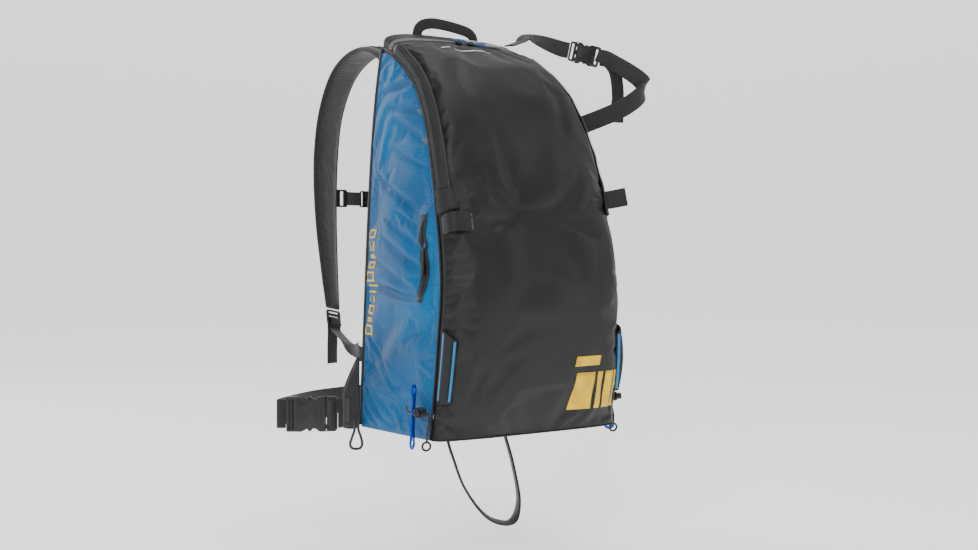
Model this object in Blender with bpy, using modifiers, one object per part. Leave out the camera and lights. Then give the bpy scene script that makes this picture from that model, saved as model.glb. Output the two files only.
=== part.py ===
"""Ski-touring backpack of 25 litres with a stowed avalanche airbag, as an assembly of separate pieces.

Metres, +Z up, +Y towards the wearer's back, -Y the pack's outer face, -X the wearer's left.
The origin is the middle of the lumbar pad's face, where the pack rests on the wearer.
Inside, a place is given as (x, out, up): out from the shell's back plane, up from the pack's base.
"""

import math

import bmesh
import bpy
from mathutils import Matrix, Vector

# Where the shell stands in the frame.
BACK_Y = -0.015  # the shell's back plane, behind the foam back and the lumbar pad
BASE_UP = -0.075  # the pack's base, below the origin

# The shell.
HALF_WIDTH = 0.146  # at the base
TAPER = 0.045  # half width lost per metre of height
SHOULDER_NARROWING = 0.012  # more of it lost close to the top
SHELL_HEIGHT = 0.509  # where the side seam reaches the back plane
SEAM_PROFILE = (  # the side seam from the base over the top to the back: (out, share of the height)
    (0.168, 0.0),
    (0.177, 0.2358),
    (0.176, 0.4322),
    (0.140, 0.7073),
    (0.104, 0.8546),
    (0.055, 0.9430),
    (0.0, 1.0),
)
CORNER_DEPTH = 0.022  # how far the front stands out from the side seam
BELLY = 0.014  # more of it at half height
SIDE_BULGE = 0.006
WALL = 0.003  # padded cloth
SEAM_GAP = 0.005  # room for a zip or a welt between two panels
CLEARANCE = 0.0005

PANEL_COLUMNS = 12  # facets across the front and the top
FLAP_ROWS = 9
SIDE_ROWS = 14

# The front opening.
HINGE_UP = 0.5894 * SHELL_HEIGHT  # the height at which the front flap folds
ZIP_OUT = 0.030  # how far in front of the back plane the zip crosses the top
CHAIN_RADIUS = 0.0013
SLIDER = (0.009, 0.008, 0.004)
SLIDER_LIFT = 0.0028  # the slider's middle above the cloth
PULL_LENGTH = 0.046
PULL_WIDTH = 0.007
PULL_THICKNESS = 0.0025
PULL_PIVOT = 0.002  # above the pull's middle, so that it turns over the slider
POCKET_ZIP_OUT = 0.146
POCKET_ZIP_UP = 0.272
POCKET_PULL_LENGTH = 0.062

# The back.
FOAM = 0.008
LUMBAR = (0.200, 0.100)
LUMBAR_THICKNESS = 0.006
FRAME_SHEET = 0.0015
GROMMET_RADIUS = 0.007

# Webbing and buckles.
HIP_WEBBING = 0.038
SKI_WEBBING = 0.025
HARNESS_WEBBING = 0.020
HAUL_WEBBING = 0.015
WEBBING = 0.0018
BELT_OUTWARD = Vector((-0.84, 0.545, 0.0)).normalized()  # the way the left wing leaves the shell
BUCKLE_CLEARANCE = 0.0006

# The airbag system.
AIRBAG = (0.196, 0.046, 0.105)
CYLINDER_RADIUS = 0.025
CYLINDER_LENGTH = 0.205
VALVE_RADIUS = 0.013
INFLATOR_RADIUS = 0.018
INFLATOR_LENGTH = 0.080
CABLE_RADIUS = 0.0025


def at(x, out, up):
    """A place in the frame from its place in the pack."""
    return Vector((x, BACK_Y - out, BASE_UP + up))


# --- curves -------------------------------------------------------------------------------------


def smooth(points, per_span=10):
    """Points along a smooth curve through the given ones."""
    given = [Vector(p) for p in points]
    given = [2 * given[0] - given[1], *given, 2 * given[-1] - given[-2]]
    found = []
    for a, b, c, d in zip(given, given[1:], given[2:], given[3:]):
        for step in range(per_span):
            t = step / per_span
            turn = (2 * a - 5 * b + 4 * c - d) * t * t + (3 * b - a - 3 * c + d) * t**3
            found.append(0.5 * (2 * b + (c - a) * t + turn))
    return [*found, given[-2]]


def lengths(points):
    run = [0.0]
    for a, b in zip(points, points[1:]):
        run.append(run[-1] + (b - a).length)
    return run


def point_along(points, share):
    """The point that lies this share of the length along a line of points."""
    run = lengths(points)
    wanted = max(0.0, min(1.0, share)) * run[-1]
    for i in range(1, len(points)):
        if run[i] >= wanted or i == len(points) - 1:
            step = run[i] - run[i - 1]
            return points[i - 1].lerp(points[i], (wanted - run[i - 1]) / step if step else 0.0)


def rounded(corners, radius, steps=3):
    """A closed outline with each sharp corner turned into an arc."""
    outline = []
    for i, corner in enumerate(corners):
        corner = Vector(corner)
        before = (Vector(corners[i - 1]) - corner).normalized()
        after = (Vector(corners[(i + 1) % len(corners)]) - corner).normalized()
        half = before.angle(after) / 2
        if half > math.radians(80):
            outline.append(corner)
            continue
        reach = radius / math.tan(half)
        middle = corner + (before + after).normalized() * radius / math.sin(half)
        first = (corner + before * reach - middle).normalized()
        last = (corner + after * reach - middle).normalized()
        for step in range(steps + 1):
            outline.append(middle + first.slerp(last, step / steps) * radius)
    return outline


def circle(radius, centre=(0.0, 0.0), sides=16):
    return [
        Vector((centre[0] + radius * math.cos(a), centre[1] + radius * math.sin(a)))
        for a in (2 * math.pi * i / sides for i in range(sides))
    ]


# --- the shell's shape --------------------------------------------------------------------------

SEAM = smooth([(out, share * SHELL_HEIGHT) for out, share in SEAM_PROFILE])


def half_width(up):
    share = max(0.0, up) / SHELL_HEIGHT
    return HALF_WIDTH - TAPER * up - SHOULDER_NARROWING * share**6


def ease(value):
    value = max(0.0, min(1.0, value))
    return value * value * (3 - 2 * value)


def seam_normal(share):
    """Away from the pack, in the side seam's plane, as (out, up). It ends level with the base and
    with the back, so that the cloth meets them square."""
    along = point_along(SEAM, share + 0.01) - point_along(SEAM, share - 0.01)
    normal = Vector((along.y, -along.x)).normalized()
    normal = Vector((1.0, 0.0)).lerp(normal, ease(share / 0.1))
    return normal.lerp(Vector((0.0, 1.0)), ease((share - 0.86) / 0.14)).normalized()


def share_where(test):
    """The first share of the seam's length at which test(out, up) holds."""
    return next(i / 2000 for i in range(2001) if test(*point_along(SEAM, i / 2000)))


def wrapped(share, across, lift=0.0):
    """A point of the cloth that wraps over the front and the top. Across runs from -1 to 1."""
    seam, normal = point_along(SEAM, share), seam_normal(share)
    turn = across * math.pi / 2
    side = math.copysign(abs(math.sin(turn)) ** 0.57, across)
    depth = CORNER_DEPTH + BELLY * math.sin(math.pi * min(1.0, share * 1.15))
    stand_out = SEAM_GAP / 2 + lift + depth * max(0.0, math.cos(turn)) ** 0.57
    place = seam + normal * stand_out
    return at((half_width(seam.y) + lift * abs(side) ** 4) * side, place.x, place.y)


def side_point(share, forward, lift=0.0):
    """A point of the left side panel, from the back plane (forward 0) to the seam (forward 1)."""
    seam = point_along(SEAM, share) - seam_normal(share) * SEAM_GAP / 2
    bulge = SIDE_BULGE * math.sin(math.pi * forward) * math.sin(math.pi * share)
    return at(-half_width(seam.y) - bulge - lift, 0.002 + forward * (seam.x - 0.002), seam.y)


HINGE_SHARE = share_where(lambda out, up: up >= HINGE_UP)
ZIP_SHARE = share_where(lambda out, up: up > SHELL_HEIGHT / 2 and out <= ZIP_OUT)
GAP_SHARE = SEAM_GAP / 2 / lengths(SEAM)[-1]

# --- materials and objects ----------------------------------------------------------------------


def finish(name, red, green, blue, roughness, metallic=0.0):
    material = bpy.data.materials.new(name)
    material.use_nodes = True
    shader = material.node_tree.nodes["Principled BSDF"]
    shader.inputs["Base Color"].default_value = (red, green, blue, 1.0)
    shader.inputs["Roughness"].default_value = roughness
    shader.inputs["Metallic"].default_value = metallic
    material.diffuse_color = (red, green, blue, 1.0)
    return material


def clear_scene():
    for obj in list(bpy.data.objects):
        bpy.data.objects.remove(obj)


def collection(name):
    made = bpy.data.collections.new(name)
    bpy.context.scene.collection.children.link(made)
    return made


clear_scene()
PACK = collection("airbag_backpack")
CUTTERS = collection("cutters")

BLUE_CLOTH = finish("blue_ripstop", 0.0, 0.17, 0.45, 0.55)
BLACK_CLOTH = finish("black_coated_cloth", 0.012, 0.012, 0.013, 0.6)
MESH_CLOTH = finish("black_spacer_mesh", 0.01, 0.01, 0.01, 0.9)
BLACK_WEBBING = finish("black_webbing", 0.009, 0.009, 0.009, 0.75)
BLACK_PLASTIC = finish("black_acetal", 0.02, 0.02, 0.022, 0.4)
GREY_PLASTIC = finish("grey_pull_tab", 0.35, 0.37, 0.4, 0.45)
SHEET_PLASTIC = finish("white_polyethylene", 0.7, 0.7, 0.68, 0.45)
BLUE_METAL = finish("blue_anodised_aluminium", 0.01, 0.13, 0.45, 0.35, 0.9)
METAL = finish("bare_aluminium", 0.6, 0.6, 0.62, 0.35, 1.0)
STEEL = finish("grey_steel", 0.35, 0.36, 0.38, 0.35, 1.0)
RED_NYLON = finish("red_airbag_nylon", 0.6, 0.02, 0.01, 0.6)
ORANGE_PLASTIC = finish("orange_handle", 0.85, 0.12, 0.01, 0.45)
BLACK_CORD = finish("black_elastic_cord", 0.012, 0.012, 0.012, 0.8)


def put(name, mesh, material, group=PACK):
    obj = bpy.data.objects.new(name, mesh)
    group.objects.link(obj)
    if material:
        mesh.materials.append(material)
    return obj


def pivot(obj, point):
    """Moves the object's origin to a point of the frame and leaves the piece where it is."""
    here = obj.matrix_world.inverted() @ Vector(point) if obj.matrix_world else Vector(point)
    obj.data.transform(Matrix.Translation(-here))
    obj.matrix_world = obj.matrix_world @ Matrix.Translation(here)
    return obj


def smooth_faces(mesh, angle=40):
    mesh.shade_smooth()
    mesh.set_sharp_from_angle(angle=math.radians(angle))


def grid(name, surface, columns, rows, thickness, material, offset=-1.0):
    """An open sheet through surface(u, v), u and v from 0 to 1, given its thickness by Solidify."""
    bm = bmesh.new()
    bmesh.ops.create_grid(bm, x_segments=columns, y_segments=rows, size=1.0)
    for vertex in bm.verts:
        vertex.co = surface((vertex.co.x + 1) / 2, (vertex.co.y + 1) / 2)
    mesh = bpy.data.meshes.new(name)
    bm.to_mesh(mesh)
    bm.free()
    smooth_faces(mesh)
    obj = put(name, mesh, material)
    solidify = obj.modifiers.new("thickness", "SOLIDIFY")
    solidify.thickness = thickness
    solidify.offset = offset
    return obj


def band(name, path, side, width, thickness, material, per_span=3, columns=1):
    """Webbing or a pad along a smooth curve. Side is the way across it, or one for each point of
    the path, and width is one width or one for each point."""
    count = len(path)
    sides = [Vector(s) for s in (side if isinstance(side, list) else [side] * count)]
    widths = width if isinstance(width, list) else [width] * count
    spots = smooth(path, per_span)
    ways = smooth(sides, per_span)
    sizes = smooth([(w, 0.0) for w in widths], per_span)
    rows = len(spots) - 1

    def surface(u, v):
        i = round(v * rows)
        return spots[i] + ways[i].normalized() * sizes[i].x * (u - 0.5)

    return grid(name, surface, columns, rows, thickness, material, offset=0.0)


def rod(name, path, radius, material, per_span=3):
    """A tube along a smooth curve, as a POLY spline with its caps closed."""
    spots = smooth(path, per_span)
    curve = bpy.data.curves.new(name, "CURVE")
    curve.dimensions = "3D"
    curve.bevel_depth = radius
    curve.bevel_resolution = 2
    curve.use_fill_caps = True
    spline = curve.splines.new("POLY")
    spline.points.add(len(spots) - 1)
    for point, spot in zip(spline.points, spots):
        point.co = (*spot, 1.0)
    return put(name, curve, material)


def as_mesh(obj):
    """The object's evaluated shape as a plain mesh object, with its doubles merged."""
    bpy.context.view_layer.update()
    graph = bpy.context.evaluated_depsgraph_get()
    mesh = bpy.data.meshes.new_from_object(obj.evaluated_get(graph))
    bm = bmesh.new()
    bm.from_mesh(mesh)
    bmesh.ops.remove_doubles(bm, verts=bm.verts, dist=1e-6)
    bm.to_mesh(mesh)
    bm.free()
    name, group, matrix = obj.name, obj.users_collection[0], obj.matrix_world.copy()
    bpy.data.objects.remove(obj)
    made = bpy.data.objects.new(name, mesh)
    group.objects.link(made)
    made.matrix_world = matrix
    return made


def plate(name, outlines, thickness, matrix, material, group=PACK):
    """A flat piece from an outline and its holes, drawn in the XY plane of matrix and as thick
    on either side of it."""
    curve = bpy.data.curves.new(name, "CURVE")
    curve.dimensions = "2D"
    curve.fill_mode = "BOTH"
    curve.extrude = thickness / 2
    for outline in outlines:
        spline = curve.splines.new("POLY")
        spline.points.add(len(outline) - 1)
        for point, spot in zip(spline.points, outline):
            point.co = (spot[0], spot[1], 0.0, 1.0)
        spline.use_cyclic_u = True
    obj = put(name, curve, material, group)
    obj.matrix_world = matrix
    made = as_mesh(obj)
    if group is CUTTERS:
        hide(made)
    return made


def hide(obj):
    obj.hide_render = True
    obj.display_type = "WIRE"


def block(name, size, matrix, material, group=PACK, bevel=0.0):
    bm = bmesh.new()
    bmesh.ops.create_cube(bm, size=1.0)
    bmesh.ops.scale(bm, vec=size, verts=bm.verts)
    mesh = bpy.data.meshes.new(name)
    bm.to_mesh(mesh)
    bm.free()
    obj = put(name, mesh, material, group)
    obj.matrix_world = matrix
    if bevel:
        edge = obj.modifiers.new("rounded_edges", "BEVEL")
        edge.width = bevel
        edge.segments = 1
        edge.limit_method = "NONE"
    if group is CUTTERS:
        hide(obj)
    return obj


def cylinder(name, radius, length, matrix, material, group=PACK, sides=20):
    """A round bar along the Z axis of matrix, with the matrix's origin at its middle."""
    bm = bmesh.new()
    bmesh.ops.create_cone(
        bm, cap_ends=True, segments=sides, radius1=radius, radius2=radius, depth=length
    )
    mesh = bpy.data.meshes.new(name)
    bm.to_mesh(mesh)
    bm.free()
    smooth_faces(mesh)
    obj = put(name, mesh, material, group)
    obj.matrix_world = matrix
    if group is CUTTERS:
        hide(obj)
    return obj


def cut(obj, tool, operation="DIFFERENCE"):
    change = obj.modifiers.new(tool.name, "BOOLEAN")
    change.operation = operation
    change.object = tool
    return obj


def mirrored(obj, name):
    """The same piece on the other side of the pack."""
    copy = obj.copy()
    copy.name = name
    flip = Matrix.Diagonal((-1, 1, 1, 1))
    mesh = obj.data.copy()
    mesh.transform(flip @ obj.matrix_world)
    mesh.flip_normals()
    copy.data = mesh
    copy.matrix_world = Matrix.Identity(4)
    obj.users_collection[0].objects.link(copy)
    for modifier in copy.modifiers:
        if modifier.type == "BOOLEAN":
            modifier.object = mirrored(modifier.object, modifier.object.name + "_right")
    return copy


def pose(origin, x_axis, y_axis):
    """A matrix with this origin whose X and Y run these ways."""
    x_axis = Vector(x_axis).normalized()
    z_axis = x_axis.cross(Vector(y_axis)).normalized()
    y_axis = z_axis.cross(x_axis)
    matrix = Matrix((x_axis, y_axis, z_axis)).transposed().to_4x4()
    matrix.translation = Vector(origin)
    return matrix


# --- the shell ----------------------------------------------------------------------------------


def make_shell():
    side = grid(
        "side_panel_left",
        lambda u, v: side_point(v * 0.975, u),
        4,
        SIDE_ROWS,
        WALL,
        BLUE_CLOTH,
    )
    mirrored(side, "side_panel_right")
    hinge_gap = HINGE_SHARE - GAP_SHARE
    grid(
        "front_panel",
        lambda u, v: wrapped(v * hinge_gap, 2 * u - 1),
        PANEL_COLUMNS,
        6,
        WALL,
        BLACK_CLOTH,
    )
    crown_start = ZIP_SHARE + GAP_SHARE
    grid(
        "crown_panel",
        lambda u, v: wrapped(crown_start + v * (1 - GAP_SHARE - crown_start), 2 * u - 1),
        PANEL_COLUMNS,
        3,
        WALL,
        BLACK_CLOTH,
    )
    edge = range(PANEL_COLUMNS + 1)
    front_edge = [wrapped(0.0, 2 * i / PANEL_COLUMNS - 1) for i in edge]
    outline = [(p.x, p.y) for p in front_edge]
    outline += [(HALF_WIDTH, BACK_Y - 0.001), (-HALF_WIDTH, BACK_Y - 0.001)]
    under = Matrix.Translation((0, 0, BASE_UP - CLEARANCE - WALL / 2))
    plate("base_panel", [outline], WALL, under, BLACK_CLOTH)


def make_flap():
    start, end = HINGE_SHARE + GAP_SHARE, ZIP_SHARE - GAP_SHARE
    flap = grid(
        "front_flap",
        lambda u, v: wrapped(start + v * (end - start), 2 * u - 1),
        PANEL_COLUMNS,
        FLAP_ROWS,
        WALL,
        BLACK_CLOTH,
    )
    pivot(flap, flap_axis())


def flap_axis():
    """The fold lies just outside the middle of the front, so that the flap clears the panel below."""
    fold = wrapped(HINGE_SHARE, 0.0, lift=0.004)
    return Vector((0.0, fold.y, fold.z))


def make_zip_chain():
    """The zip's chain, up the left seam, across the top and down the right seam."""
    inward = WALL / 2
    shares = [HINGE_SHARE + (ZIP_SHARE - HINGE_SHARE) * i / FLAP_ROWS for i in range(FLAP_ROWS)]
    climb = [point_along(SEAM, share) for share in shares]
    left = [at(-half_width(p.y) + inward, p.x, p.y) for p in climb]
    half = PANEL_COLUMNS // 2
    top = [wrapped(ZIP_SHARE, i / half, lift=-inward) for i in range(-half, half + 1)]
    end = point_along(SEAM, ZIP_SHARE)
    top[0] = at(-half_width(end.y) + inward, end.x, end.y)
    top[-1] = Vector((-top[0].x, top[0].y, top[0].z))
    right = [Vector((-p.x, p.y, p.z)) for p in reversed(left)]
    rod("main_zip_chain", left + top + right, CHAIN_RADIUS, BLACK_PLASTIC, per_span=1)


def top_frame(x):
    """The top of the pack where the zip crosses it: X across, Y towards the back and Z off it."""
    way = point_along(SEAM, ZIP_SHARE + 0.01) - point_along(SEAM, ZIP_SHARE - 0.01)
    middle = wrapped(ZIP_SHARE, 0.0)
    return pose((x, middle.y, middle.z), (1, 0, 0), (0.0, -way.x, way.y))


def make_main_sliders():
    for name, x, behind in (("left", -0.010, 0.009), ("right", 0.010, 0.0)):
        frame = top_frame(x)
        slider_at = frame @ Matrix.Translation((0, 0, SLIDER_LIFT))
        block(f"zip_slider_{name}", SLIDER, slider_at, BLACK_PLASTIC, bevel=0.0008)
        start = SLIDER[0] / 2 + CLEARANCE if name == "right" else -SLIDER[0] / 2
        middle = (start + PULL_LENGTH / 2, behind, SLIDER_LIFT)
        pull = block(
            f"zip_pull_{name}",
            (PULL_LENGTH, PULL_WIDTH, PULL_THICKNESS),
            frame @ Matrix.Translation(middle),
            GREY_PLASTIC,
            bevel=0.0006,
        )
        pivot(pull, frame @ Vector((start, behind, SLIDER_LIFT + PULL_PIVOT)))


def pocket_frame():
    """The pocket zip on the left side panel: X down along it, Y to the pack's front and Z off it."""
    share = share_where(lambda out, up: up >= POCKET_ZIP_UP)
    low = share_where(lambda out, up: up >= POCKET_ZIP_UP - 0.08)
    out = POCKET_ZIP_OUT

    def spot(share):
        seam = point_along(SEAM, share)
        return side_point(share, (out - 0.002) / (seam.x - 0.002))

    top, bottom = spot(share), spot(low)
    return pose(top, bottom - top, (0, -1, 0))


def make_pocket_slider():
    frame = pocket_frame()
    lift = SLIDER_LIFT
    slider_at = frame @ Matrix.Translation((0, 0, lift))
    block("pocket_zip_slider", (0.012, 0.008, 0.004), slider_at, BLACK_PLASTIC, bevel=0.0008)
    start = 0.006 + CLEARANCE
    pull_at = frame @ Matrix.Translation((start + POCKET_PULL_LENGTH / 2, 0, lift))
    size = (POCKET_PULL_LENGTH, PULL_WIDTH, PULL_THICKNESS)
    pull = block("pocket_zip_pull", size, pull_at, GREY_PLASTIC, bevel=0.0006)
    pivot(pull, frame @ Vector((start, 0, lift + PULL_PIVOT)))


# --- the back -----------------------------------------------------------------------------------


def cable_hole():
    return Vector((half_width(SHELL_HEIGHT - 0.039) - 0.0164, SHELL_HEIGHT - 0.039))


def make_back():
    heights = [0.004 + (SHELL_HEIGHT - 0.012) * i / 8 for i in range(9)]
    left = [Vector((-half_width(up) + 0.004, up)) for up in heights]
    right = [Vector((-p.x, p.y)) for p in reversed(left)]
    half = PANEL_COLUMNS // 2
    arch = [wrapped(1.0, i / half) for i in range(1 - half, half)]
    top = [Vector((p.x * 0.97, p.z - BASE_UP - 0.001)) for p in arch]
    facing = pose((0, BACK_Y + CLEARANCE + FOAM / 2, BASE_UP), (1, 0, 0), (0, 0, 1))
    hole = circle(GROMMET_RADIUS, cable_hole(), 12)
    plate("back_panel", [[*left, *top, *right], hole], FOAM, facing, MESH_CLOTH)
    wide, tall = LUMBAR[0] / 2, LUMBAR[1] / 2
    pad = rounded([(-wide, -tall), (wide, -tall), (wide, tall), (-wide, tall)], 0.018)
    facing = pose((0, -LUMBAR_THICKNESS / 2, 0), (1, 0, 0), (0, 0, 1))
    plate("lumbar_pad", [pad], LUMBAR_THICKNESS, facing, MESH_CLOTH)
    wide = half_width(SHELL_HEIGHT) - 0.012
    low, high = 0.020, SHELL_HEIGHT - 0.050
    sheet = rounded([(-wide, low), (wide, low), (wide, high), (-wide, high)], 0.020)
    facing = pose((0, BACK_Y - 0.002 - FRAME_SHEET / 2, BASE_UP), (1, 0, 0), (0, 0, 1))
    plate("frame_sheet", [sheet], FRAME_SHEET, facing, SHEET_PLASTIC)


# --- side-release buckles -----------------------------------------------------------------------


def slot_hole(x, width, height):
    half, tall = width / 2, height / 2
    return [(x - tall, -half), (x + tall, -half), (x + tall, half), (x - tall, half)]


def make_buckle(prefix, webbing, origin, along, across):
    """A side-release buckle whose halves meet at origin. Along runs from the female to the male.
    Returns its frame, its male half and its female half."""
    size = webbing / 0.038  # all of it follows the webbing's width
    frame = pose(origin, along, across)
    half = webbing / 2 + 0.0045 * size
    gap = BUCKLE_CLEARANCE
    tine_reach, tine_width = 0.030 * size, 0.0058 * size
    tine_out = half - 0.0035 * size
    thick, shell = 0.0045 * size, 0.0110 * size
    base_end = 0.0150 * size
    guide = 0.0050 * size
    male = [
        (gap, -half),
        (gap, -tine_out),
        (-tine_reach * 0.62, -tine_out),
        (-tine_reach * 0.66, -tine_out - 0.0030 * size),
        (-tine_reach * 0.78, -tine_out - 0.0030 * size),
        (-tine_reach, -tine_out + tine_width),
        (gap, -tine_out + tine_width),
        (gap, -guide),
        (-tine_reach * 0.8, -guide),
    ]
    male += [(x, -y) for x, y in reversed(male)]
    male += [(base_end - 0.003 * size, half), (base_end, half - 0.003 * size)]
    male += [(base_end, -half + 0.003 * size), (base_end - 0.003 * size, -half)]
    slot = slot_hole(base_end * 0.58, webbing + 0.001, 0.0045 * size)
    pronged = plate(f"{prefix}_buckle_male", [male, slot], thick, frame, BLACK_PLASTIC)

    body_end = -0.040 * size
    frame_end = -0.053 * size
    waist = half - 0.005 * size
    female = [
        (-gap, half),
        (-gap, -half),
        (-0.008 * size, -half),
        (-0.014 * size, -waist),
        (-0.024 * size, -waist),
        (-0.032 * size, -half),
        (frame_end + 0.003 * size, -half),
        (frame_end, -half + 0.003 * size),
        (frame_end, half - 0.003 * size),
        (frame_end + 0.003 * size, half),
        (-0.032 * size, half),
        (-0.024 * size, waist),
        (-0.014 * size, waist),
        (-0.008 * size, half),
    ]
    back_slot = slot_hole((body_end + frame_end) / 2 + 0.0005 * size, webbing + 0.001, 0.0050 * size)
    body = plate(f"{prefix}_buckle_female", [female, back_slot], shell, frame, BLACK_PLASTIC)
    deep, high = 0.036 * size, thick + 2 * gap
    tine_in = tine_out - tine_width - gap  # the rails stand between here and the guide
    side_width = half + 0.002 - tine_in
    for name, middle, width in (
        ("guide_way", 0.0, 2 * (guide + gap)),
        ("tine_way_low", -(tine_in + side_width / 2), side_width),
        ("tine_way_high", tine_in + side_width / 2, side_width),
    ):
        way_at = frame @ Matrix.Translation((0.001 - deep / 2, middle, 0))
        cut(body, block(f"{prefix}_{name}", (deep, width, high), way_at, None, CUTTERS))
    return frame, pronged, body


# --- hip belt -----------------------------------------------------------------------------------

WING_HEIGHT = 0.096
WING_THICKNESS = 0.010
WING_LENGTH = 0.020
WING_CLEARANCE = 0.006  # the wings swing past the shell's sides
BELT_UP = 0.046
WEBBING_DROP = 0.029  # the webbing and the buckle sit this far below the middle of a wing's root
BUCKLE_FROM_SHELL = 0.0425  # from the shell's corner to where the halves of the buckle meet


def belt_root():
    """Where the left wing leaves the shell."""
    return at(-half_width(BELT_UP) - WING_CLEARANCE, 0.0, BELT_UP)


def belt_axis():
    """The belt swings up and down about the line through the roots of its wings."""
    root = belt_root()
    return Vector((0.0, root.y, root.z))


def make_hip_belt():
    up = (0, 0, 1)
    root = belt_root()
    drop = Vector((0.0, 0.0, -WEBBING_DROP))
    tip = root + BELT_OUTWARD * WING_LENGTH + drop * 0.8
    tall = [WING_HEIGHT, WING_HEIGHT * 0.78, HIP_WEBBING + 0.010]
    middle = root.lerp(tip, 0.5)
    left = band("hip_wing_left", [root, middle, tip], up, tall, WING_THICKNESS, MESH_CLOTH)
    root_right = Vector((-root.x, root.y, root.z))
    forward = Vector((0.80, 0.60, 0.0)).normalized()
    tip_right = root_right + forward * 0.080 + drop
    bend = root_right + Vector((0.95, 0.30, 0.0)).normalized() * 0.043 + drop * 0.4
    path = [root_right, bend, tip_right]
    right = band("hip_wing_right", path, up, tall, WING_THICKNESS, MESH_CLOTH)

    meet = root + BELT_OUTWARD * BUCKLE_FROM_SHELL + drop
    frame, male, female = make_buckle("hip", HIP_WEBBING, meet, -BELT_OUTWARD, up)
    size = HIP_WEBBING / 0.038
    male_end = frame @ Vector((0.0150 * size + 0.0006, 0, 0))
    start = root + drop + BELT_OUTWARD * (WING_LENGTH + CLEARANCE * 2)
    path = [start, start.lerp(male_end, 0.5), male_end]
    short = band("hip_webbing_left", path, up, HIP_WEBBING, WEBBING, BLACK_WEBBING, 1)

    female_end = frame @ Vector((-0.0530 * size - 0.0010, 0, 0))
    low = BELT_UP - WEBBING_DROP
    behind = [
        female_end,
        female_end + Vector((-0.006, 0.012, 0.0)),
        at(-0.190, -0.105, low),
        at(-0.120, -0.148, low),
        at(-0.020, -0.168, low),
        at(0.090, -0.150, low),
        at(0.165, -0.112, low),
        tip_right + forward * 0.0018,
    ]
    long = band("hip_webbing_right", behind, up, HIP_WEBBING, WEBBING, BLACK_WEBBING, 4)
    loop = make_gear_loop()
    swing = bpy.data.objects.new("belt_swing", None)
    PACK.objects.link(swing)
    swing.location = belt_axis()
    bpy.context.view_layer.update()
    for piece in (left, right, male, female, short, long, loop):
        piece.parent = swing
        piece.matrix_parent_inverse = swing.matrix_world.inverted()


def make_gear_loop():
    """A cord loop that hangs under the left wing, on its front side so that it clears the pad."""
    root = belt_root()
    face = Vector((-BELT_OUTWARD.y, BELT_OUTWARD.x, 0.0)) * (WING_THICKNESS / 2 + 0.0035)
    low = -WING_HEIGHT / 2

    def spot(along, up):
        return root + face + BELT_OUTWARD * along + Vector((0, 0, up))

    path = [
        spot(0.0045, low + 0.012),
        spot(0.0045, low - 0.001),
        spot(0.0080, low - 0.012),
        spot(0.0105, low - 0.021),
        spot(0.0070, low - 0.0265),
        spot(-0.0020, low - 0.0265),
        spot(-0.0055, low - 0.021),
        spot(-0.0040, low - 0.012),
        spot(-0.0005, low - 0.001),
        spot(-0.0005, low + 0.012),
    ]
    return rod("gear_loop", path, 0.0018, BLACK_CORD)


# --- shoulder straps ----------------------------------------------------------------------------

STRAP_WIDTH = 0.051
STRAP_THICKNESS = 0.010
STRAP_TWIST = math.radians(21)
STRAP_ANCHOR_UP = 0.095
LADDER_LOCK = 0.003
LADDER_SLOT = 0.0155  # from the end of the pad to the slot the webbing turns through
STRAP_ROUTE = (  # (x, towards the wearer, share of the shell's height) of the left strap
    (-0.062, 0.0150, 0.8448),
    (-0.064, 0.0190, 0.9194),
    (-0.069, 0.0430, 0.9882),
    (-0.076, 0.0920, 1.0180),
    (-0.086, 0.1420, 0.9700),
    (-0.095, 0.1690, 0.8600),
    (-0.102, 0.1730, 0.7200),
    (-0.108, 0.1620, 0.5600),
    (-0.113, 0.1440, 0.4180),
    (-0.118, 0.1250, 0.3020),
)


def strap_places():
    return [at(x, -wearer, share * SHELL_HEIGHT) for x, wearer, share in STRAP_ROUTE]


def strap_line():
    return smooth(strap_places())


def strap_spot(share):
    """The place, the way along and the way across the left strap at a share of its length."""
    line = strap_line()
    along = (point_along(line, share + 0.01) - point_along(line, share - 0.01)).normalized()
    across = Vector((math.cos(STRAP_TWIST), math.sin(STRAP_TWIST), 0.0))
    across = (across - along * across.dot(along)).normalized()
    return point_along(line, share), along, across


def make_shoulder_straps():
    turned = [0, 0, 0.2, 0.5, 0.8, 1, 1, 1, 1, 1]
    sides = [
        Vector((math.cos(STRAP_TWIST * t), math.sin(STRAP_TWIST * t), 0.0)) for t in turned
    ]
    widths = [STRAP_WIDTH] * 6 + [w * STRAP_WIDTH for w in (0.98, 0.86, 0.66, 0.48)]
    strap = band("shoulder_strap_left", strap_places(), sides, widths, STRAP_THICKNESS, MESH_CLOTH)
    mirrored(strap, "shoulder_strap_right")


def ladder_frame():
    """The left strap's ladder lock: X down the strap, Y across it, origin at the end of the pad."""
    place, along, across = strap_spot(1.0)
    return pose(place, along, across)


def make_ladder_locks():
    frame = ladder_frame()
    half, long = HARNESS_WEBBING / 2 + 0.004, LADDER_SLOT + 0.0105
    start = LADDER_SLOT - 0.0115
    outline = rounded([(start, -half), (long, -half), (long, half), (start, half)], 0.003, 2)
    wide = HARNESS_WEBBING + 0.001
    holes = [slot_hole(LADDER_SLOT - 0.008, wide, 0.003), slot_hole(LADDER_SLOT, wide, 0.005)]
    left = plate("ladder_lock_left", [outline, *holes], LADDER_LOCK, frame, BLACK_PLASTIC)
    right = mirrored(left, "ladder_lock_right")
    hinge = frame @ Vector((start, 0, 0))
    pivot(left, hinge)
    pivot(right, Vector((-hinge.x, hinge.y, hinge.z)))


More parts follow.
